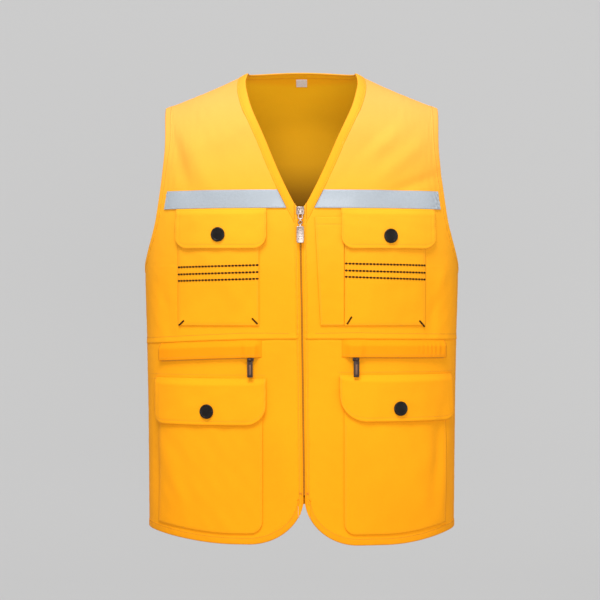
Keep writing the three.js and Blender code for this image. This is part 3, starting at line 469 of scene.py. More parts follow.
def neck_seam(z):
    at = np.maximum(z, -STRAIGHT_NECK * NECK_DEPTH)
    slope = (neck_edge(at + 1) - neck_edge(at - 1)) / 2
    return neck_edge(at) + slope * (z - at) + NECK_BAND * np.hypot(1, slope)


def waist(side, x):
    return -WAIST_DROP - WAIST_SAG[side] * (x / CHEST_HALF) ** 2


def armhole_edge(z):
    down = np.clip((-z - SHOULDER_DROP) / (UNDERARM_DROP - SHOULDER_DROP), 0, 1)
    reach = side_seam_at(-UNDERARM_DROP)
    return lerp(SHOULDER_HALF, reach, follow(ARMHOLE["down"], ARMHOLE["out"], down))


def armhole_line(face, inset, s):
    """The armhole edge, or a line inside it, from the shoulder tip (0) to the side seam (1)."""
    total = way_at(ridge(face, side_seam_at(-UNDERARM_DROP)) + UNDERARM_DROP)

    def edge(at):
        way = total * np.sin(at * math.pi / 2)
        x = np.full(np.shape(at), float(SHOULDER_HALF))
        for _ in range(8):
            x = armhole_edge(ridge(face, x) - depth_at(way))
        return np.where(at >= 1, 1.0, turn_at(x, depth_at(way))), way

    turn, way = edge(s)
    before, after = edge(np.maximum(s - 0.01, 0)), edge(np.minimum(s + 0.01, 1))
    along = body_point(face, *after) - body_point(face, *before)
    beside, below = along_turn(face, turn, way), along_way(face, turn, way)
    inward = np.cross(body_normal(face, turn, way), along)
    inward = inward / np.linalg.norm(inward, axis=-1, keepdims=True) * face * inset
    shift = np.where(s <= 0, -inset / np.linalg.norm(beside, axis=-1),
                     (inward * beside).sum(-1) / (beside ** 2).sum(-1))
    drop = np.where(s <= 0, 0, (inward * below).sum(-1) / (below ** 2).sum(-1))
    return np.where(s >= 1, 1.0, turn + shift), np.where(s >= 1, way + inset, way + drop)


def across(face, turn, way):
    return body_point(face, turn, way)[..., 0]


def neck_line(side, edge, inset, s):
    """The neck edge or a line beside it on one front, from the shoulder (0) to the placket (1)."""
    foot = solve(lambda down: edge(-down) - PLACKET - SEAM_GAP, 0, NECK_DEPTH * 1.3)
    way = way_at(foot) * s
    z = -depth_at(way)
    return spot_down(out_at(side, edge(z) + inset, z), way)


def front_upper_place(side, u, v):
    near = PLACKET + SEAM_GAP - TUCK
    inset = SEAM_GAP - TUCK
    under_z = body_point(-1, *armhole_line(-1, ARMHOLE_BAND + inset, np.ones(1)))[0, 2]
    start = body_point(-1, *neck_line(side, neck_seam, inset, np.ones(1)))[0, 2]
    s = np.clip(v / ABOVE_UNDERARM, 0, 1)
    along_neck = neck_line(side, neck_seam, inset, np.clip(s / NECK_ROWS_SHARE, 0, 1))
    z_front = lerp(start, under_z, np.clip((s - NECK_ROWS_SHARE) / (1 - NECK_ROWS_SHARE), 0, 1))
    along_front = spot_at(-1, out_at(side, near, z_front), z_front)
    from_turn, from_way = np.where(s <= NECK_ROWS_SHARE, along_neck, along_front)
    to_turn, to_way = armhole_line(-1, ARMHOLE_BAND + inset, s)
    share = spread_share(u)
    x = lerp(across(-1, from_turn, from_way), across(-1, to_turn * side, to_way), share)
    high = spot_down(x, lerp(from_way, to_way, share))
    foot = waist(side, lerp(near, side_seam_at(-WAIST_DROP), share)) + SEAM_GAP / 2
    down = np.clip((v - ABOVE_UNDERARM) / (1 - ABOVE_UNDERARM), 0, 1)
    z = lerp(body_point(-1, *high)[..., 2], foot, down)
    low = spot_at(-1, lerp(out_at(side, near, z), side * side_seam_at(z), share), z)
    return np.where(v <= ABOVE_UNDERARM, high, low)


def front_upper_over(u, v):
    return CLOTH + 0.5 * ease((v - 0.975) / 0.02) + 0.12 * ripple(u * 215, v * 390, 26, 3)


for side, word in NAMES.items():
    cloth_piece(f"chest_front_{word}", f"front_upper_{word}", gold, partial(front_upper_place, side),
                96, 168, front_upper_over, CLOTH)

# The fronts below the waist seam: the same twill, with a round corner at the foot of the zip. Their
# top edge is sewn in under the upper fronts, and their foot runs in under the hem.
HEM_DIP = {-1: 0.02648 * BODY_LENGTH, 1: 0.02882 * BODY_LENGTH}
HEM_DIP_MIDDLE = {-1: 0.42, 1: 0.52}
HEM_CORNER = 76
HEM_CORNER_RISE = 68
HEM_BAND = 10.5
CORNER_REACH = 0.2
CORNER_COLUMNS = 5 / 18


def hem_curve(side, out, inset):
    start = HEM_DIP_MIDDLE[side]
    low = -BODY_LENGTH - HEM_DIP[side] * np.cos(quarter((out / CHEST_HALF - start) / (1 - start))) + inset
    radius_in = HEM_CORNER - (PLACKET if inset > 0 else 0)
    near = np.clip((HEM_CORNER - out) / radius_in, 0, 1)
    return low + (HEM_CORNER_RISE - inset) * (1 - np.sqrt(np.maximum(1 - near * near, 0)))


def lower_out(u, z):
    """Columns of the lower front, closer together over the round corner."""
    inner = CORNER_REACH * (1 - np.cos(quarter(u / CORNER_COLUMNS)))
    outer = lerp(CORNER_REACH, 1, (u - CORNER_COLUMNS) / (1 - CORNER_COLUMNS))
    share = spread_share(np.where(u <= CORNER_COLUMNS, inner, outer))
    return lerp(PLACKET + SEAM_GAP, side_seam_at(z), share)


def front_lower_place(side, u, v):
    top = waist(side, lower_out(u, -WAIST_DROP)) + 5
    foot = hem_curve(side, lower_out(u, -BODY_LENGTH), HEM_BAND + SEAM_GAP) - TUCK
    z = lerp(top, foot, v)
    out = lower_out(u, z) - TUCK * (1 - ease(u * 12)) * (v < 0.98)
    return spot_at(-1, out_at(side, np.maximum(out, PLACKET + SEAM_GAP - TUCK), z), z)


def front_lower_over(u, v):
    return CLOTH - 1.0 * (1 - ease(v / 0.03)) + 0.12 * ripple(u * 215, v * 270, 24, 5)


for side, word in NAMES.items():
    cloth_piece(f"skirt_front_{word}", f"front_lower_{word}", gold, partial(front_lower_place, side),
                96, 120, front_lower_over, CLOTH)

# The back: one cloth of the same twill from the shoulder seams to the hem, with no seam in the middle.
# Its inside has a painted glow, and painted shade that darkens it towards the foot of the neck opening.
BACK_NECK_SHARE = 5 / 12
BACK_HEM_RISE = 17
BACK_ABOVE_UNDERARM = 0.6
BACK_INSET = ARMHOLE_BAND + SEAM_GAP - TUCK


def back_hem(x):
    return -BODY_LENGTH + BACK_HEM_RISE * np.cos(quarter(np.abs(x) / CHEST_HALF))


TOP_SEAM = across(1, *armhole_line(1, BACK_INSET, np.zeros(1)))[0]


def back_share(k):
    neck = float(neck_seam(np.float64(0)) + SEAM_GAP - TUCK) / TOP_SEAM
    inner = neck * np.sin(quarter(k / BACK_NECK_SHARE))
    outer = lerp(neck, 1, np.sin(quarter((k - BACK_NECK_SHARE) / (1 - BACK_NECK_SHARE))))
    return np.where(k <= BACK_NECK_SHARE, inner, outer)


def back_place(u, v):
    k, side = np.abs(2 * u - 1), np.sign(2 * u - 1)
    share = back_share(k)
    s = np.clip(v / BACK_ABOVE_UNDERARM, 0, 1)
    seam_turn, seam_way = armhole_line(1, BACK_INSET, s)
    seam_x = across(1, seam_turn, seam_way)
    x = seam_x * share
    seam_z = body_point(1, *armhole_line(1, BACK_INSET, np.ones(1)))[0, 2]
    scoop = (BACK_NECK_DROP + NECK_BAND + SEAM_GAP - TUCK) * np.cos(quarter(k / BACK_NECK_SHARE))
    level = lerp(s, seam_way / way_at(ridge(1, seam_x) - seam_z), share ** 2)
    high = spot_down(side * x, lerp(scoop, way_at(ridge(1, x) - seam_z), level))
    foot = back_hem(share * side_seam_at(-BODY_LENGTH)) + HEM_BAND + SEAM_GAP - TUCK
    z = lerp(seam_z, foot, np.clip((v - BACK_ABOVE_UNDERARM) / (1 - BACK_ABOVE_UNDERARM), 0, 1))
    low = spot_at(1, side * side_seam_at(z) * share, z)
    return np.where(v <= BACK_ABOVE_UNDERARM, high, low)


cloth_piece("back_cloth", "back_panel", gold, back_place, 144, 190,
            lambda u, v: CLOTH + 0.15 * ripple(u * 450, v * 640, 34, 7), CLOTH, face=1,
            inside=inside_shade_and_glow)

# The stitched edge bands of the neck and the armholes: the cloth turned twice to the inside, pressed
# flat with a soft rolled edge, and sewn down along the inner side.
BAND_OVER = 0.5
BAND_WALL = CLOTH + 2 * BAND_OVER
# Width of each band, the place of its row of stitches, and its length.
NECK_SEWN = (NECK_BAND, 9.5, 240)
BACK_NECK_SEWN = (NECK_BAND, 9.5, 190)
ARMHOLE_SEWN = (ARMHOLE_BAND, 9.2, 260)


def band_over(band, seed, u, v):
    """Outer face of a band: rounded at its free edge, sunk along its row of stitches."""
    width, stitch, length = band
    edge = 1 - np.sqrt(np.clip(1 - (1 - np.clip(u * width / 1.4, 0, 1)) ** 2, 0, 1))
    seam = ease(1 - (1 - u) * width / 0.8)
    pucker = 0.22 * ripple(v * length, u * width * 0.3, 9, seed)
    row = bell((u * width - stitch) / 0.8)
    return CLOTH + BAND_OVER - 0.8 * edge - 0.35 * seam - 0.4 * row + pucker * ease(u * 2.5)


def between(first, second, u, v):
    """A strip between two lines of the body, each read along its length."""
    one, other = first(v), second(v)
    return lerp(one[0], other[0], u), lerp(one[1], other[1], u)


def armhole_place(side, face, u, v):
    turn, way = between(partial(armhole_line, face, 0), partial(armhole_line, face, ARMHOLE_BAND), u, v)
    return side * turn, way


for side, word in NAMES.items():
    lines = partial(neck_line, side, neck_edge, 0), partial(neck_line, side, neck_seam, 0)
    cloth_piece(f"neck_edge_{word}", f"neck_band_{word}", gold_band_shaded, partial(between, *lines), 12, 130,
                partial(band_over, NECK_SEWN, 11 + side), BAND_WALL)
    for face, sheet in ((-1, "front"), (1, "back")):
        cloth_piece(f"armhole_edge_{sheet}_{word}", f"armhole_band_{sheet}_{word}", gold,
                    partial(armhole_place, side, face), 10, 150,
                    partial(band_over, ARMHOLE_SEWN, 21 + side + 5 * face), BAND_WALL, face=face)


def back_neck_line(out, drop, v):
    angle = (2 * v - 1) * math.pi / 2
    return spot_down(out * np.sin(angle), drop * np.cos(angle))


lines = (partial(back_neck_line, float(neck_edge(np.float64(0))), BACK_NECK_DROP),
         partial(back_neck_line, float(neck_seam(np.float64(0))), BACK_NECK_DROP + NECK_BAND))
cloth_piece("neck_edge_back", "neck_band_back", gold_band_shaded, partial(between, *lines), 12, 120,
            partial(band_over, BACK_NECK_SEWN, 14), BAND_WALL, face=1,
            inside=inside_shade_and_glow)

# The front edges beside the zip, and the hem: the cloth turned under and sewn, one width all the way
# round. Along the teeth the front edges lie a little lower, and are a deeper amber there as painted shade.
ZIP_OPENING = 1.8
ZIP_EDGE = 4.4
ZIP_EDGE_SUNK = 0.5
FRONT_SEWN = (PLACKET, 6.2, 450)
HEM_SEWN = (HEM_BAND, 8.6, 240)
BACK_HEM_SEWN = (HEM_BAND, 8.6, 560)
ZIP_VALLEY_SHADE_HEIGHTS = ((-0.60, 0.92, 0.305, 0.004), (-0.20, 0.95, 0.340, 0.007))
zip_valley_shade = cotton("front edge beside the zip, painted shade", ZIP_VALLEY_SHADE_HEIGHTS)


def placket_place(side, u, v):
    out = lerp(ZIP_OPENING / 2, PLACKET, u)
    columns = np.unique(out)
    tops = np.array([-solve(lambda down, o=o: neck_edge(-down) - o, 0, NECK_DEPTH * 1.05)
                     for o in columns])
    z = lerp(tops[np.searchsorted(columns, out)], hem_curve(side, out, 0), v)
    return spot_at(-1, out_at(side, out, z), z)


def placket_over(seed, u, v):
    sunk = ease((ZIP_EDGE - lerp(ZIP_OPENING / 2, PLACKET, u)) / 0.8)
    return band_over(FRONT_SEWN, seed, u, v) - ZIP_EDGE_SUNK * sunk


def hem_place(side, u, v):
    out = lower_out(v, -BODY_LENGTH)
    z = lerp(hem_curve(side, out, 0), hem_curve(side, out, HEM_BAND), u)
    return spot_at(-1, out_at(side, lower_out(v, z), z), z)


def back_hem_place(u, v):
    share = back_share(np.abs(2 * v - 1)) * np.sign(2 * v - 1)
    z = back_hem(share * side_seam_at(-BODY_LENGTH)) + HEM_BAND * u
    return spot_at(1, side_seam_at(z) * share, z)


for side, word in NAMES.items():
    front_edge = cloth_piece(f"front_edge_{word}", f"placket_{word}", gold, partial(placket_place, side),
                             18, 200, partial(placket_over, 31 + side), BAND_WALL)
    # Faces along the teeth take the darker material: painted shade of the sunk strip.
    front_edge.data.materials.append(zip_valley_shade)
    for facet in front_edge.data.polygons:
        x, _, z = facet.center / MM
        facet.material_index = int(abs(x - float(middle(z))) < ZIP_EDGE)
    cloth_piece(f"hem_edge_{word}", f"hem_band_{word}", gold_band_shaded, partial(hem_place, side), 10, 150,
                partial(band_over, HEM_SEWN, 41 + side), BAND_WALL)
cloth_piece("hem_edge_back", "hem_band_back", gold_band_shaded, back_hem_place, 10, 220,
            partial(band_over, BACK_HEM_SEWN, 44), BAND_WALL, face=1)

# The front zip: two woven tapes behind the front edges, a row of small teeth, a cast slider and its
# pull with a link, a ring and a flat grip.
ZIP_LENGTH = 398
ZIP_TOP_TUCK = 4
ZIP_TAPE = 12
ZIP_TAPE_WALL = 1
ZIP_CHAIN = 4.6
ZIP_CHAIN_WALL = 1.3
ZIP_UNDER = -BAND_OVER - LAYER_GAP
ZIP_NEAR = ZIP_CHAIN / 2 + SEAM_GAP
TOOTH_PITCH = 2.1
TOOTH = (3.0, ZIP_CHAIN_WALL, TOOTH_PITCH * 0.62)
TOOTH_SHIFT = 0.75
TOOTH_CROWN = (ZIP_OPENING * 0.66, 2.2, TOOTH_PITCH * 0.7)
CROWNS_BELOW = 12


def plain_material(name, color, roughness, mark, mark_scale=300, metallic=0.0, specular=0.5, coat=0.0):
    """A hard or woven finish with small marks in its colour, its gloss and its surface."""
    material, shader = new_material(name, {"Metallic": metallic, "Specular IOR Level": specular,
                                           "Coat Weight": coat})
    add = partial(add_node, material)
    place = add("TexCoord", {})
    noise = add("TexNoise", {"Vector": place["Object"], "Scale": mark_scale, "Detail": 4})["Fac"]
    stops = ((0.3, *[c * 0.72 for c in color]), (0.65, *color))
    gloss = add("MapRange", {"Value": noise, "To Min": max(roughness - 0.1, 0.05),
                             "To Max": min(roughness + 0.12, 1)})
    bump = add("Bump", {"Strength": mark, "Distance": 0.0003, "Height": noise})
    fill(shader, {"Base Color": color_stops(material, noise, stops), "Roughness": gloss["Result"],
                  "Normal": bump["Normal"]})
    return material


amber_weave = plain_material("amber zip weave", (0.70, 0.26, 0.010), 0.8, 0.3, 900)
tape_weave = plain_material("gold zip tape", (0.62, 0.26, 0.012), 0.85, 0.3, 900)
pale_metal = plain_material("worn nickel", (0.42, 0.34, 0.30), 0.34, 0.1, metallic=1.0)


def zip_side_place(side, u, v):
    z = lerp(-NECK_DEPTH - ZIP_TOP_TUCK, -NECK_DEPTH - ZIP_LENGTH, v)
    return spot_at(-1, out_at(side, lerp(ZIP_NEAR, ZIP_NEAR + ZIP_TAPE, u), z), z)


for side, word in NAMES.items():
    cloth_piece(f"zip_side_{word}", f"zip_tape_{word}", tape_weave, partial(zip_side_place, side), 8, 120,
                ZIP_UNDER, ZIP_TAPE_WALL)


def made_piece(name, bm, material, body, node=None, at=None, smooth=True):
    """A finished piece from its bmesh, in millimetres, moved to its place and on its body."""
    if at is not None:
        bmesh.ops.transform(bm, matrix=at, verts=bm.verts)
    bmesh.ops.recalc_face_normals(bm, faces=bm.faces)
    bmesh.ops.scale(bm, vec=(MM, MM, MM), verts=bm.verts)
    mesh = mesh_from(name, bm, material)
    if smooth:
        mesh.shade_smooth()
        mesh.set_sharp_from_angle(angle=math.radians(38))
    piece = placed(name, mesh)
    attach(piece, body)
    if node:
        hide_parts(node)


def seat(x, z, lift):
    """A place on the front: X level along the cloth, -Y outwards, Z up the cloth."""
    turn, way = spot_at(-1, np.float64(x), np.float64(z))
    out = Vector(body_normal(-1, turn, way))
    level = Vector((0, 0, 1)).cross(out).normalized()
    matrix = Matrix((level, -out, out.cross(level))).transposed().to_4x4()
    matrix.translation = Vector(body_point(-1, turn, way)) + out * (lift + float(drag_at(-1, x, z)))
    return matrix


teeth = bmesh.new()
for i in range(int((ZIP_LENGTH - ZIP_TOP_TUCK) / TOOTH_PITCH)):
    z = -NECK_DEPTH - ZIP_TOP_TUCK - TOOTH_PITCH * (i + 0.5)
    x = float(middle(z))
    tooth_at = seat(x + (1 if i % 2 else -1) * TOOTH_SHIFT, z, ZIP_UNDER - ZIP_CHAIN_WALL / 2)
    bmesh.ops.create_cube(teeth, size=1, matrix=tooth_at @ Matrix.Diagonal((*TOOTH, 1)))
    if z < -NECK_DEPTH - CROWNS_BELOW:
        bmesh.ops.create_cube(teeth, size=1, matrix=seat(x, z, 0.2) @ Matrix.Diagonal((*TOOTH_CROWN, 1)))
made_piece("zip_teeth", teeth, amber_weave, "vest", "zip_chain", smooth=False)

SLIDER_WIDTH, SLIDER_LENGTH, SLIDER_WALL = 11, 11, 2.2
RIDGE_OUT, RIDGE_WIDTH, RIDGE_HEIGHT = 4.35, 0.9, 0.4
CROWN_WIDTH, CROWN_SPAN, CROWN_HEIGHT, CROWN_BAR = 2.6, 7.6, 4.2, 1.1
PULL_WALL, PULL_PLAY = 1.4, 0.5
LINK_WIDTH, LINK_EYE, LINK_LENGTH = 7, 4, 11.5
RING_LENGTH, RING_HOLE, RING_WALL = 10, 3.4, 1.7
TAB_WIDTH, TAB_LENGTH, TAB_RAIL = 10, 23, 1.5
TAB_RIBS, RIB_PITCH, RIB_WIDTH = 5, 3.3, 5.2
PLATE_BACK = CLOTH + BAND_OVER + SEAM_GAP
PLATE_FRONT = PLATE_BACK + SLIDER_WALL


def about(size, centre=0):
    return centre - size / 2, centre + size / 2


def rail(end, size, width):
    """The outer strip of that width, at either end of a size."""
    return sorted((end * size / 2, end * (size / 2 - width)))


def edges_of(made):
    return list({edge for vert in made["verts"] for edge in vert.link_edges})


def bar(bm, x, y, z, bevel, steps=3):
    """A bar between two corners, given as (low, high) along each axis, with rounded edges."""
    size = Matrix.Diagonal((x[1] - x[0], y[1] - y[0], z[1] - z[0], 1))
    centre = Matrix.Translation(((x[0] + x[1]) / 2, (y[0] + y[1]) / 2, (z[0] + z[1]) / 2))
    made = bmesh.ops.create_cube(bm, size=1, matrix=centre @ size)
    bmesh.ops.bevel(bm, geom=edges_of(made), offset=bevel, offset_type="OFFSET", affect="EDGES",
                    segments=steps, profile=0.5, material=-1)


slider = bmesh.new()
half = SLIDER_LENGTH / 2
bar(slider, about(SLIDER_WIDTH), (-PLATE_FRONT, -PLATE_BACK), about(SLIDER_LENGTH), 0.8)
bar(slider, (-0.6, 0.6), (-PLATE_BACK - 0.2, BAND_OVER), (-half * 0.7, half * 0.7), 0.1, 1)
crown_top = -PLATE_FRONT - CROWN_HEIGHT
for end in (-1, 1):
    bar(slider, about(RIDGE_WIDTH, end * RIDGE_OUT), (-PLATE_FRONT - RIDGE_HEIGHT, -PLATE_BACK - 1),
        (-half * 0.8, half * 0.75), 0.2, 2)
    bar(slider, about(CROWN_WIDTH), (crown_top + 0.3, -PLATE_FRONT + 0.4),
        rail(end, CROWN_SPAN, CROWN_BAR), 0.3, 2)
bar(slider, about(CROWN_WIDTH), (crown_top, crown_top + CROWN_BAR), about(CROWN_SPAN), 0.45)
slider_z = -NECK_DEPTH - SLIDER_LENGTH / 2
slider_seat = seat(float(middle(slider_z)), slider_z, 0)
made_piece("front_zip_slider", slider, pale_metal, "vest", "zip_slider", slider_seat)

pull = bmesh.new()
half = PULL_WALL / 2
flat = about(PULL_WALL)
for end in (-1, 1):
    bar(pull, rail(end, LINK_WIDTH, (LINK_WIDTH - LINK_EYE) / 2), flat, (-LINK_LENGTH, half), 0.5)
bar(pull, about(LINK_WIDTH), flat, flat, 0.5)
bar(pull, about(LINK_WIDTH), flat, (-LINK_LENGTH - 0.5, -LINK_LENGTH + 1.2), 0.5)
ring_at = Matrix.Translation((0, 0, -LINK_LENGTH - RING_LENGTH / 2))
ring = bmesh.ops.create_circle(pull, segments=12, radius=half * 0.98,
                               matrix=ring_at @ Matrix.Translation(((RING_HOLE + RING_WALL) / 2, 0, 0)))
bmesh.ops.spin(pull, geom=ring["verts"] + edges_of(ring), cent=ring_at.translation, axis=(0, 1, 0),
               dvec=(0, 0, 0), angle=math.tau, steps=28, use_merge=True)
neck_z = -LINK_LENGTH - RING_LENGTH
bar(pull, (-1.3, 1.3), flat, (neck_z - 0.5, neck_z + 2.6), 0.5)
bar(pull, (-1.3, 1.3), flat, (-LINK_LENGTH - 2.4, -LINK_LENGTH + 0.4), 0.5)
bar(pull, (-TAB_WIDTH / 2 + 0.6, TAB_WIDTH / 2 - 0.6), flat, (neck_z - TAB_LENGTH, neck_z), 0.6)
for end in (-1, 1):
    bar(pull, rail(end, TAB_WIDTH, TAB_RAIL), (-half - 0.25, half),
        (neck_z - TAB_LENGTH + TAB_RAIL, neck_z - 1), 0.5)
for k in range(TAB_RIBS):
    low = neck_z - 5.2 - RIB_PITCH * k
    bar(pull, about(RIB_WIDTH), (-half - 0.22, -half + 0.4), (low, low + 1.5), 0.25, 2)
pull_seat = slider_seat @ Matrix.Translation((0, -(PLATE_FRONT + PULL_PLAY + PULL_WALL / 2), 0))
made_piece("front_zip_pull", pull, pale_metal, "front_pull", "zip_pull", pull_seat)

# The reflective tape: a grey-blue satin strip coated with fine glass beads, sewn over the chest of each
# front along both its edges. It wrinkles a little at the armhole.
TAPE_DROP = NECK_DEPTH * 0.879
TAPE_WIDTH = 25
TAPE_WALL = 1.0
TAPE_END = {-1: 5.5, 1: 3.0}
TAPE_STITCH = 2.2
TAPE_CRUMPLE = {-1: 0.18, 1: 0.7}
TAPE_CREASE = 0.955
silver_tape = plain_material("reflective tape", (0.405, 0.448, 0.495), 0.42, 0.12, 1400, metallic=0.1,
                             coat=0.15)


def tape_place(side, u, v):
    """From the neck seam to clear of the armhole band."""
    z = -TAPE_DROP - TAPE_WIDTH * v
    turn, way = spot_at(-1, armhole_edge(z), z)
    beside = np.linalg.norm(along_turn(-1, turn, way), axis=-1)
    end = side * across(-1, turn - (ARMHOLE_BAND + TAPE_END[side]) / beside, way)
    start = out_at(side, neck_seam(z) + LAYER_GAP / 2, z)
    return spot_at(-1, lerp(start, end, spread_share(u)), z)


def tape_over(side, u, v):
    down = v * TAPE_WIDTH
    seam = bell((down - TAPE_STITCH) / 0.7) + bell((down - TAPE_WIDTH + TAPE_STITCH) / 0.7)
    crumple = ripple(u * 150, v * 60, 11, 50 + side) * ease((u - 0.72) * 4) * TAPE_CRUMPLE[side]
    crease = -0.6 * bell((u - TAPE_CREASE) / 0.008) + 0.3 * ease((u - TAPE_CREASE) / 0.01)
    return ON_SHELL + TAPE_WALL - 0.25 * seam + np.maximum(crumple, -0.5) + crease * (side < 0)


for side, word in NAMES.items():
    cloth_piece(f"chest_tape_{word}", f"reflective_tape_{word}", silver_tape, partial(tape_place, side),
                130, 26, partial(tape_over, side), TAPE_WALL)

# The chest pockets: patch pockets of the same twill with a wide flap sewn in under the tape. The
# narrow pen pocket on the wearer's left runs in under the pocket beside it.
CHEST_FOOT = WAIST_DROP - 18.5
CHEST_SEAM = TAPE_DROP + TAPE_WIDTH + SEAM_GAP
CHEST_TOP = CHEST_SEAM + 14
FLAP_FULL = 1.5
POCKET_MOUTH = 0.25
FLAP_LIFT_SHARE = 0.16
POCKET_STITCH, FLAP_STITCH = 2.4, 5.5
CHEST_BOTH = {"pocket_near": 58.5, "pocket_far": 170.8, "tall": 148, "full": 2.5, "top": CHEST_SEAM,
              "height": 55.5}
CHEST = {
    -1: {**CHEST_BOTH, "near": 48.5, "far": 173.2, "corner_near": 18, "corner_far": 18, "snap": 113,
         "snap_down": 0.652},
    1: {**CHEST_BOTH, "near": 54, "far": 183.5, "corner_near": 17, "corner_far": 17, "snap": 120,
        "snap_down": 0.688},
}


def belly(out, near, far):
    return np.sin(np.clip((out - near) / (far - near), 0, 1) * math.pi)


def corner_rise(distance, radius):
    inside = np.clip(radius - distance, 0, radius)
    return radius - np.sqrt(radius ** 2 - inside ** 2)


def pocket_place(side, pocket, top, foot, corner, u, v):
    out = lerp(pocket["pocket_near"], pocket["pocket_far"], u)
    rise = corner_rise(out - pocket["pocket_near"], corner) if corner else 0
    return spot_at(-1, side * out, lerp(-top, foot(out) + rise, v))


def pocket_over(pocket, seed, u, v):
    near, far, tall = pocket["pocket_near"], pocket["pocket_far"], pocket["tall"]
    down = np.sin(math.pi * lerp(POCKET_MOUTH, 1, v))
    edge = np.minimum(np.minimum(u, 1 - u) * (far - near), (1 - v) * tall)
    soft = 0.35 * ripple(u * (far - near), v * tall, 34, seed) * ease(edge / 14)
    full = pocket["full"] * belly(lerp(near, far, u), near, far) * down
    hem = 0.35 * bell((edge - POCKET_STITCH) / 0.8) + 0.5 * ease(1 - edge / 0.9)
    return ON_SHELL + CLOTH + full - hem + soft


def round_grid(u):
    """Columns closer together at the round corners of a flap."""
    return lerp(u, 0.5 - 0.5 * np.cos(u * math.pi), 0.75)


def flap_place(side, flap, u, v):
    out = lerp(flap["near"], flap["far"], round_grid(u))
    rise = corner_rise(out - flap["near"], flap["corner_near"])
    rise = rise + corner_rise(flap["far"] - out, flap["corner_far"])
    return spot_at(-1, side * out, -flap["top"] - (flap["height"] - rise) * v)


def flap_lift(flap, out, down):
    room = CLOTH + LAYER_GAP + flap["full"] * belly(out, flap["pocket_near"], flap["pocket_far"])
    return ON_SHELL + (room + FLAP_FULL * ease(down)) * ease(down / FLAP_LIFT_SHARE)


def flap_over(flap, seed, u, v):
    u = round_grid(u)
    wide = flap["far"] - flap["near"]
    edge = np.minimum(np.minimum(u, 1 - u) * wide, (1 - v) * flap["height"])
    turned = 0.45 * ease(1 - edge / 0.9) + 0.22 * bell((edge - FLAP_STITCH) / 0.9)
    soft = 0.3 * ripple(u * wide, v * 60, 30, seed) * ease(v * 3)
    return CLOTH + flap_lift(flap, lerp(flap["near"], flap["far"], u), v) - turned + soft


def chest_foot(out):
    return np.full(np.shape(out), -float(CHEST_FOOT))


for side, word in NAMES.items():
    chest = CHEST[side]
    cloth_piece(f"chest_patch_{word}", f"chest_pocket_{word}", gold,
                partial(pocket_place, side, chest, CHEST_TOP, chest_foot, 0), 92, 118,
                partial(pocket_over, chest, 60 + side), CLOTH)
    cloth_piece(f"chest_cover_{word}", f"chest_flap_{word}", gold, partial(flap_place, side, chest),
                100, 44, partial(flap_over, chest, 64 + side), CLOTH)

PEN_TOP, PEN_FOOT = 17.5, 25.5
PEN_WIDTH, PEN_TALL = 37, 149
PEN_MOUTH = 10


def pen_place(u, v):
    z = lerp(-TAPE_DROP - TAPE_WIDTH - 12.5, -float(CHEST_FOOT), v)
    return spot_at(-1, lerp(lerp(PEN_TOP, PEN_FOOT, v), CHEST[1]["pocket_near"] - LAYER_GAP, u), z)


def pen_over(u, v):
    left, foot = u * PEN_WIDTH, (1 - v) * PEN_TALL
    hem = 0.3 * bell((left - POCKET_STITCH) / 0.8) + 0.5 * ease(1 - np.minimum(left, foot) / 0.9)
    mouth = 0.35 * bell((v * PEN_TALL - PEN_MOUTH) / 0.9)
    return ON_SHELL + CLOTH - hem - mouth + 0.2 * ripple(left, v * PEN_TALL, 26, 71)


cloth_piece("pen_patch", "pen_pocket", gold, pen_place, 36, 130, pen_over, CLOTH)

# The press studs: a turned cap of dark plated brass with a rolled rim round a shallow dish, riveted
# through the flap on a short post.
SNAP_RADIUS = 9.5
# Share of the radius, and height.
SNAP_PROFILE = ((0.0, 0.0), (0.42, 0.0), (0.42, 0.85), (1.06, 0.85), (1.06, 1.2), (1.0, 1.5), (1.0, 2.3),
                (0.96, 2.95), (0.88, 3.25), (0.80, 3.1), (0.74, 2.75), (0.60, 2.9), (0.35, 3.15),
                (0.0, 3.25))
dark_metal = plain_material("gunmetal", (0.009, 0.007, 0.006), 0.36, 0.08, metallic=0.2, specular=0.25)


def press_stud(name, node, side, flap):
    lift = float(flap_lift(flap, np.float64(flap["snap"]), np.float64(flap["snap_down"]))) + CLOTH + 0.1
    bm = bmesh.new()
    verts = [bm.verts.new((share * SNAP_RADIUS, -height, 0)) for share, height in SNAP_PROFILE]
    edges = [bm.edges.new(pair) for pair in zip(verts, verts[1:])]
    bmesh.ops.spin(bm, geom=verts + edges, cent=(0, 0, 0), axis=(0, 1, 0), dvec=(0, 0, 0),
                   angle=math.tau, steps=40, use_merge=True)
    bmesh.ops.remove_doubles(bm, verts=bm.verts, dist=0.001)
    at = seat(side * flap["snap"], -flap["top"] - flap["height"] * flap["snap_down"], lift)
    made_piece(name, bm, dark_metal, "vest", node, at)


for side, word in NAMES.items():
    press_stud(f"chest_stud_{word}", f"chest_snap_{word}", side, CHEST[side])

# The zipped pockets under the waist seam: a cover strip folded down over the zip, slightly gathered
# at its outer end, with a small dark slider and pull showing under its edge.
COVER_HEIGHT = 24.5
COVER_END = 55
COVER_REACH = {-1: 197, 1: 199.5}
COVER_GATHER = {-1: 0.15, 1: 0.9}
COVER_PLEAT = 6.5
POCKET_CHAIN = 9
POCKET_CHAIN_WALL = 1.4
SMALL_WIDTH, SMALL_LENGTH, SMALL_WALL = 9, 8, 2
POCKET_CROWN, POCKET_BAR = 6.4, 1.3
PULL_WIDTH, PULL_LENGTH, PULL_THICK = 7.6, 24, 1.8
PULL_AT = {-1: 70, 1: 74}
LOOP_WIDTH, LOOP_WALL = 3.2, 1.0
SLIDER_BACK = ON_SHELL + POCKET_CHAIN_WALL + SEAM_GAP
SLIDER_FRONT = SLIDER_BACK + SMALL_WALL
LOOP_INNER = POCKET_BAR / math.sqrt(2) + PULL_PLAY
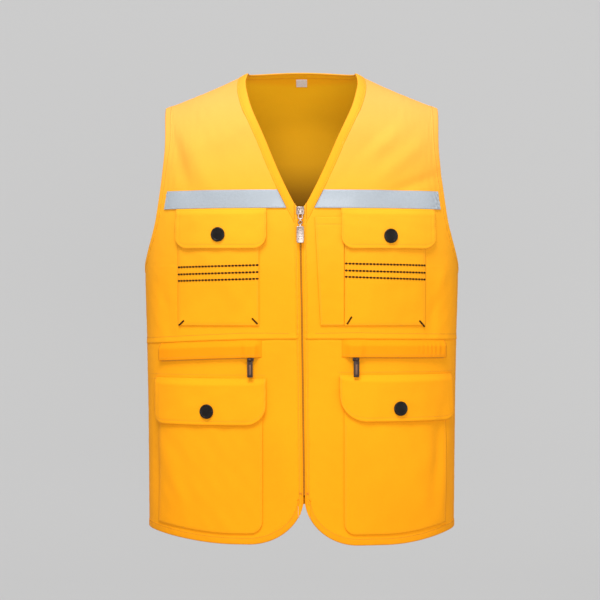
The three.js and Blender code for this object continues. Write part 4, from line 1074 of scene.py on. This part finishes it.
LOOP_OUTER = LOOP_INNER + LOOP_WALL
GRIP_TOP = -LOOP_INNER - LOOP_WALL / 2
BAR_DEPTH = SLIDER_FRONT + LOOP_OUTER + PULL_PLAY
BAR_BELOW = LOOP_OUTER + PULL_PLAY
SLIDER_ABOVE = 3
# The cover strips are a deeper orange than the cloth around them: painted shade.
STRIP_SHADE_HEIGHTS = ((-0.40, 0.92, 0.300, 0.003), (-0.30, 0.92, 0.310, 0.004))
gold_strip_shaded = cotton("golden twill of the cover strips, painted shade", STRIP_SHADE_HEIGHTS)
bronze = plain_material("dark bronze", (0.045, 0.019, 0.010), 0.45, 0.2, metallic=0.3)
worn_bronze = plain_material("worn bronze", (0.20, 0.10, 0.06), 0.5, 0.5, 700, metallic=0.5)


def cover_foot(side, out):
    return waist(side, out) - SEAM_GAP / 2 - COVER_HEIGHT


def cover_place(side, u, v):
    out = lerp(COVER_END, COVER_REACH[side], u)
    return spot_at(-1, side * out, lerp(waist(side, out) + 0.5, cover_foot(side, out), v))


def cover_over(side, u, v):
    out = lerp(COVER_END, COVER_REACH[side], u)
    down = ease(v / 0.4)
    bump = ease(1.6 - np.abs(out - PULL_AT[side]) / SMALL_WIDTH)
    body = lerp(ON_SHELL + POCKET_CHAIN_WALL + LAYER_GAP, LAYER_GAP + SLIDER_FRONT, bump)
    gathered = COVER_GATHER[side] * ease((u - 0.62) * 3.5) * np.sin(np.pi * np.clip(v, 0.1, 0.95))
    pleats = np.sin(out * math.tau / COVER_PLEAT + 1.3 * np.sin(out / 7)) * gathered
    fold = 0.4 * ease(1 - (1 - v) * COVER_HEIGHT / 0.9)
    stand = lerp(CLOTH + 0.1, body + CLOTH, down * lerp(0.1, 1, ease(u / 0.08)))
    return stand - fold + pleats * 0.55 * down


def chain_place(side, u, v):
    out = lerp(COVER_END + 10, COVER_REACH[side] - 3, u)
    return spot_at(-1, side * out, cover_foot(side, out) + POCKET_CHAIN - 1 - POCKET_CHAIN * v)


def small_slider():
    """A plate with a crown that holds the pull's bar."""
    made = bmesh.new()
    high = BAR_BELOW + SLIDER_ABOVE
    bar(made, about(SMALL_WIDTH), (-SLIDER_FRONT, -SLIDER_BACK), (high - SMALL_LENGTH, high), 0.5)
    thin = POCKET_BAR / 2
    for end in (-1, 1):
        bar(made, about(POCKET_BAR, end * POCKET_CROWN / 2), (-BAR_DEPTH - thin, -SLIDER_FRONT + 0.3),
            about(POCKET_BAR), 0.25, 2)
    bar(made, about(POCKET_CROWN + POCKET_BAR), about(POCKET_BAR, -BAR_DEPTH), about(POCKET_BAR), 0.3, 2)
    return made


def small_pull():
    """A loop round the bar, and a flat grip with raised rails."""
    made = bmesh.new()
    section = bmesh.ops.create_grid(made, x_segments=1, y_segments=1, size=0.5,
                                    matrix=Matrix.Translation((0, 0, (LOOP_INNER + LOOP_OUTER) / 2))
                                    @ Matrix.Rotation(math.radians(90), 4, "X")
                                    @ Matrix.Diagonal((LOOP_WIDTH, LOOP_WALL, 1, 1)))
    bmesh.ops.delete(made, geom=section["verts"][0].link_faces[:], context="FACES_ONLY")
    bmesh.ops.spin(made, geom=section["verts"] + edges_of(section), cent=(0, 0, 0), axis=(1, 0, 0),
                   dvec=(0, 0, 0), angle=math.tau, steps=24, use_merge=True)
    bar(made, about(PULL_WIDTH), about(PULL_THICK), (-PULL_LENGTH, GRIP_TOP), 0.5)
    for end in (-1, 1):
        bar(made, rail(end, PULL_WIDTH, 1.4), (-PULL_THICK / 2 - 0.3, PULL_THICK / 2),
            (-PULL_LENGTH + 0.8, GRIP_TOP - 0.8), 0.3, 2)
    return made


for side, word in NAMES.items():
    cloth_piece(f"zip_cover_{word}", f"zip_pocket_cover_{word}", gold_strip_shaded, partial(cover_place, side),
                130, 28, partial(cover_over, side), CLOTH)
    cloth_piece(f"pocket_zip_{word}", f"zip_pocket_chain_{word}", tape_weave, partial(chain_place, side),
                90, 8, ON_SHELL + POCKET_CHAIN_WALL, POCKET_CHAIN_WALL)
    bar_z = float(cover_foot(side, PULL_AT[side])) - BAR_BELOW
    slider_at = seat(side * PULL_AT[side], bar_z, 0)
    pull_at = slider_at @ Matrix.Translation((0, -BAR_DEPTH, 0))
    made_piece(f"pocket_slider_{word}", small_slider(), bronze, "vest",
               f"zip_pocket_slider_{word}", slider_at)
    made_piece(f"pocket_pull_{word}", small_pull(), bronze, f"{word}_pocket_pull",
               f"zip_pocket_pull_{word}", pull_at)
    inlay = bmesh.new()
    bar(inlay, (-1.5, 1.5), (-PULL_THICK / 2 - 0.35, -PULL_THICK / 2 + 0.3),
        (-PULL_LENGTH + 3.5, GRIP_TOP - 4.5), 0.3, 2)
    made_piece(f"pocket_pull_face_{word}", inlay, worn_bronze, f"{word}_pocket_pull",
               at=pull_at)

# The cargo pockets: large patch pockets of the same twill, sewn on the lower fronts, with a deep flap
# under the zipped pockets and a press stud.
YOKE_DROP = WAIST_DROP + 54
CARGO_TOP = YOKE_DROP + 16
CARGO_FOOT_GAP = 4
CARGO_CORNER = 15
CARGO_BOTH = {"tall": 198, "full": 4, "height": 65}
CARGO = {
    -1: {**CARGO_BOTH, "near": 49, "far": 203.5, "corner_near": 28, "corner_far": 15, "snap": 128,
         "snap_down": 0.708, "pocket_near": 53.5, "pocket_far": 199, "top": YOKE_DROP},
    1: {**CARGO_BOTH, "near": 52, "far": 209, "corner_near": 37, "corner_far": 14, "snap": 133,
        "snap_down": 0.723, "pocket_near": 58, "pocket_far": 200, "top": YOKE_DROP - 5},
}


def cargo_foot(side, out):
    return hem_curve(side, out, HEM_BAND) + CARGO_FOOT_GAP


for side, word in NAMES.items():
    cargo = CARGO[side]
    cloth_piece(f"cargo_patch_{word}", f"cargo_pocket_{word}", gold,
                partial(pocket_place, side, cargo, CARGO_TOP, partial(cargo_foot, side), CARGO_CORNER),
                110, 120, partial(pocket_over, cargo, 80 + side), CLOTH)
    cloth_piece(f"cargo_cover_{word}", f"cargo_flap_{word}", gold, partial(flap_place, side, cargo),
                110, 48, partial(flap_over, cargo, 84 + side), CLOTH)
    press_stud(f"cargo_stud_{word}", f"cargo_snap_{word}", side, cargo)

# The size tag: a small bare tag of white woven ribbon. Its top edge is sewn in under the back neck
# band, and it hangs a little away from the back.
LABEL_WIDTH, LABEL_HEIGHT, LABEL_WALL, LABEL_HANG = 16, 13, 1, 2.2
white_weave = plain_material("white tag", (1.0, 1.0, 1.0), 0.75, 0.25, 1200)


def label_place(u, v):
    return spot_down((u - 0.5) * LABEL_WIDTH, BACK_NECK_DROP + NECK_BAND + SEAM_GAP + LABEL_HEIGHT * v)


cloth_piece("neck_tag", "size_label", white_weave, label_place, 16, 14,
            lambda u, v: -LAYER_GAP - LABEL_HANG * (3 * v + 1) / 4, LABEL_WALL, face=1)

# The sewing: lockstitch in thread of the cloth's own colour along every turned edge and seam, with
# painted shade darkening the rows along the fronts' edges, pale thread on the tape, and on the chest
# pockets three rows and the bar tacks in dark brown thread.
# A stitch's length, width and height.
STITCH, STITCH_PITCH = (2.5, 0.62, 0.42), 3.1
BOLD_STITCH, BOLD_PITCH = (4.9, 3.2, 1.5), 4.7
TACK_STITCH, TACK_PITCH = (1.0, 3.0, 1.4), 0.85
YOKE_ROWS = {-1: (-425.5, -432.4), 1: (-421.5, -430.5)}
YOKE_NEAR, YOKE_FAR = 50, 212
ZIP_END_NEAR, ZIP_END_FAR, ZIP_END_Z, ZIP_END_DROP = 3.0, 6.6, -588, 5
gold_thread = plain_material("gold thread", (0.80, 0.29, 0.008), 0.7, 0.2, 900)
# Darker than the gold thread: painted shade of the sunk stitch rows along the edges.
shaded_edge_thread = plain_material("gold thread darkened as painted shade", (0.55, 0.19, 0.006), 0.7, 0.2, 900)
brown_thread = plain_material("dark brown thread", (0.030, 0.011, 0.003), 0.9, 0.2, 900, specular=0.1)
grey_thread = plain_material("pale grey thread", (0.52, 0.56, 0.60), 0.7, 0.2, 900)


def sew(bm, piece, route, size, pitch, under):
    """A row of stitches on a cloth piece along a route of (u, v) corners, or on its inner side."""
    corners = np.asarray(route, float)
    legs = np.linspace(0, len(corners) - 1, 400 * (len(corners) - 1))
    u, v = (np.interp(legs, np.arange(len(corners)), corners[:, k]) for k in (0, 1))
    turn, way, points = laid(piece, u, v, size[2] * (-0.2 if under else 0.2) - under)
    run = run_of(points)
    count = max(int(run[-1] / pitch), 1)
    at = (np.arange(count) + 0.5) * run[-1] / count

    def along(where):
        return np.stack([np.interp(where, run, points[:, k]) for k in range(3)], axis=-1)

    ahead = along(at + pitch * 0.35) - along(at - pitch * 0.35)
    normals = body_normal(CLOTHS[piece][0], np.interp(at, run, turn), np.interp(at, run, way))
    for centre, forward, normal in zip(along(at), ahead, normals):
        first = Vector(forward).normalized()
        second = Vector(normal).cross(first).normalized()
        basis = Matrix((first, second, first.cross(second))).transposed().to_4x4()
        basis.translation = Vector(centre)
        bmesh.ops.create_icosphere(bm, subdivisions=1, radius=0.5,
                                   matrix=basis @ Matrix.Diagonal((*size, 1)))


def sewn(name, material, rows, size=STITCH, pitch=STITCH_PITCH, under=0):
    bm = bmesh.new()
    for piece, route in rows:
        sew(bm, piece, route, size, pitch, under)
    made_piece(name, bm, material, "vest")


def row_down(u, top=0, foot=1):
    return [(u, top), (u, foot)]


def row_over(v, near=0, far=1):
    return [(near, v), (far, v)]


def row_round(wide, tall, inset, top=0.0):
    """Down one side, along the foot and up the other, that far inside the edges."""
    u, v = inset / wide, 1 - inset / tall
    return [(u, top), (u, v), (1 - u, v), (1 - u, top)]


def patch_rows(kind, word, pocket, tall):
    """The rows round a pocket and round its flap."""
    wide = pocket["pocket_far"] - pocket["pocket_near"]
    return [(f"{kind}_patch_{word}", row_round(wide, tall, POCKET_STITCH, POCKET_MOUTH)),
            (f"{kind}_cover_{word}", row_round(pocket["far"] - pocket["near"], pocket["height"], FLAP_STITCH))]


def yoke_place(side, z, u, v):
    return spot_at(-1, side * lerp(YOKE_NEAR, YOKE_FAR, u), np.full(len(u), z))


def zip_end_place(side, u, v):
    z = ZIP_END_Z - ZIP_END_DROP * v
    return spot_at(-1, out_at(side, lerp(ZIP_END_NEAR, ZIP_END_FAR, u), z), z)


for side, word in NAMES.items():
    sewn(f"edge_sewing_{word}", shaded_edge_thread, [
        (f"neck_edge_{word}", row_down(0.79)),
        (f"armhole_edge_front_{word}", row_down(0.76)),
        (f"armhole_edge_back_{word}", row_down(0.76)),
        (f"front_edge_{word}", row_down(0.74, 0.01, 0.965)),
        (f"hem_edge_{word}", row_down(0.82)),
        (f"chest_front_{word}", row_over(0.976, 0.03)),
    ])
    for row, z in enumerate(YOKE_ROWS[side]):
        CLOTHS[f"yoke_line_{row}"] = (-1, partial(yoke_place, side, z), CLOTH)
    CLOTHS["zip_end"] = (-1, partial(zip_end_place, side), CLOTH + BAND_OVER)
    sewn(f"yoke_sewing_{word}", gold_thread, [("yoke_line_0", row_over(0)), ("yoke_line_1", row_over(0))])
    sewn(f"zip_end_tack_{word}", gold_thread, [("zip_end", row_over(0))], TACK_STITCH, TACK_PITCH)
    sewn(f"pocket_sewing_{word}", gold_thread, [
        *patch_rows("chest", word, CHEST[side], CHEST_FOOT - CHEST_TOP),
        *patch_rows("cargo", word, CARGO[side], CARGO[side]["tall"]),
        (f"zip_cover_{word}", row_over(0.86, 0.01, 0.99)),
    ])
    sewn(f"tape_sewing_{word}", grey_thread,
         [(f"chest_tape_{word}", row_over(v, 0.01, 0.99)) for v in (0.088, 0.912)])
sewn("back_sewing", gold_thread, [("neck_edge_back", row_down(0.79)), ("hem_edge_back", row_down(0.82))])
sewn("neck_facing_sewing", gold_thread,
     [("neck_edge_back", row_down(0.79)), ("neck_edge_back", row_down(0.12))], under=BAND_WALL)
sewn("pen_sewing", gold_thread, [("pen_patch", row_over(0.068)),
                                 ("pen_patch", [(0.065, 0), (0.065, 0.985), (1, 0.985)])])

# Three rows and two bar tacks on each chest pocket, across and up in millimetres.
CONTRAST = {
    -1: (((-171.9, -276.5), (-56.8, -273.8)), ((-171.9, -286.4), (-56.8, -283.4)),
         ((-171.9, -295.4), (-56.8, -292.6))),
    1: (((58.2, -271.7), (171.7, -273.9)), ((58.2, -281.2), (171.7, -284.1)),
        ((58.2, -289.9), (171.7, -293.4))),
}
TACKS = {
    -1: (((-169.1, -357.2), (-161.8, -350.4)), ((-68.1, -346.9), (-60.3, -354.9))),
    1: (((62.0, -355.1), (68.4, -344.6)), ((161.6, -350.4), (169.6, -359.2))),
}


def on_patch(side, spots):
    """Places across and up, as shares of the chest pocket."""
    near, far = CHEST[side]["pocket_near"], CHEST[side]["pocket_far"]
    return [(min(max((abs(x) - near) / (far - near), 0.002), 0.998),
             (-z - CHEST_TOP) / (CHEST_FOOT - CHEST_TOP)) for x, z in spots]


for side, word in NAMES.items():
    for name, lines, size, pitch in (("contrast_sewing", CONTRAST, BOLD_STITCH, BOLD_PITCH),
                                     ("bar_tacks", TACKS, TACK_STITCH, TACK_PITCH)):
        rows = [(f"chest_patch_{word}", on_patch(side, line)) for line in lines[side]]
        sewn(f"{name}_{word}", brown_thread, rows, size, pitch)

# The studio: a plain pale floor that curves up into the wall behind, a soft light high above the
# front, a weaker one from the front and from each side, and the reference camera straight ahead.
FLOOR_Z = -1.05
GROUND_HALF = 3.5
GROUND = ((-3.2, FLOOR_Z), (1.2, FLOOR_Z), (1.7, FLOOR_Z + 0.1), (2.05, FLOOR_Z + 0.35),
          (2.25, FLOOR_Z + 0.8), (2.3, FLOOR_Z + 1.4), (2.3, 3.2))
pale_ground, _ = new_material("pale ground", {
    "Base Color": (0.32, 0.32, 0.32, 1), "Roughness": 0.9, "Specular IOR Level": 0.1,
    "Emission Color": (1, 1, 1, 1), "Emission Strength": 0.29,
})
ground = bmesh.new()
verts = [ground.verts.new((-GROUND_HALF, y, z)) for y, z in GROUND]
edges = [ground.edges.new(pair) for pair in zip(verts, verts[1:])]
swept = bmesh.ops.extrude_edge_only(ground, edges=edges)["geom"]
bmesh.ops.translate(ground, vec=(2 * GROUND_HALF, 0, 0),
                    verts=[vert for vert in swept if isinstance(vert, bmesh.types.BMVert)])
floor = placed("ground", mesh_from("ground", ground, pale_ground))
floor.data.shade_smooth()

AIM = Vector((0, 0, -0.3))
LIGHTS = (
    ("key", (-0.3, -1.5, 2.0), 1.1, 73),
    ("front", (0.3, -4.2, -0.5), 2.0, 76),
    ("side_left", (-2.6, -1.4, 0.2), 1.4, 7),
    ("side_right", (2.6, -1.4, 0.2), 1.4, 13),
)
for name, place, size, power in LIGHTS:
    light = bpy.data.lights.new(name, "AREA")
    light.shape = "SQUARE"
    light.size = size
    light.energy = power
    lamp = placed(name, light)
    lamp.location = place
    lamp.rotation_euler = (AIM - Vector(place)).to_track_quat("-Z", "Y").to_euler()

world = bpy.data.worlds.new("studio")
world.use_nodes = True
fill(world.node_tree.nodes["Background"], {"Color": (1, 1, 1, 1), "Strength": 0.38})
bpy.context.scene.world = world
bpy.context.scene.view_settings.view_transform = "Standard"

lens = bpy.data.cameras.new("reference")
lens.lens = 125.9
lens.sensor_width = 36
camera = placed("reference", lens)
camera.location = (-0.0024, -3.0, -0.322)
camera.rotation_euler = (math.radians(90), 0, 0)
bpy.context.scene.camera = camera
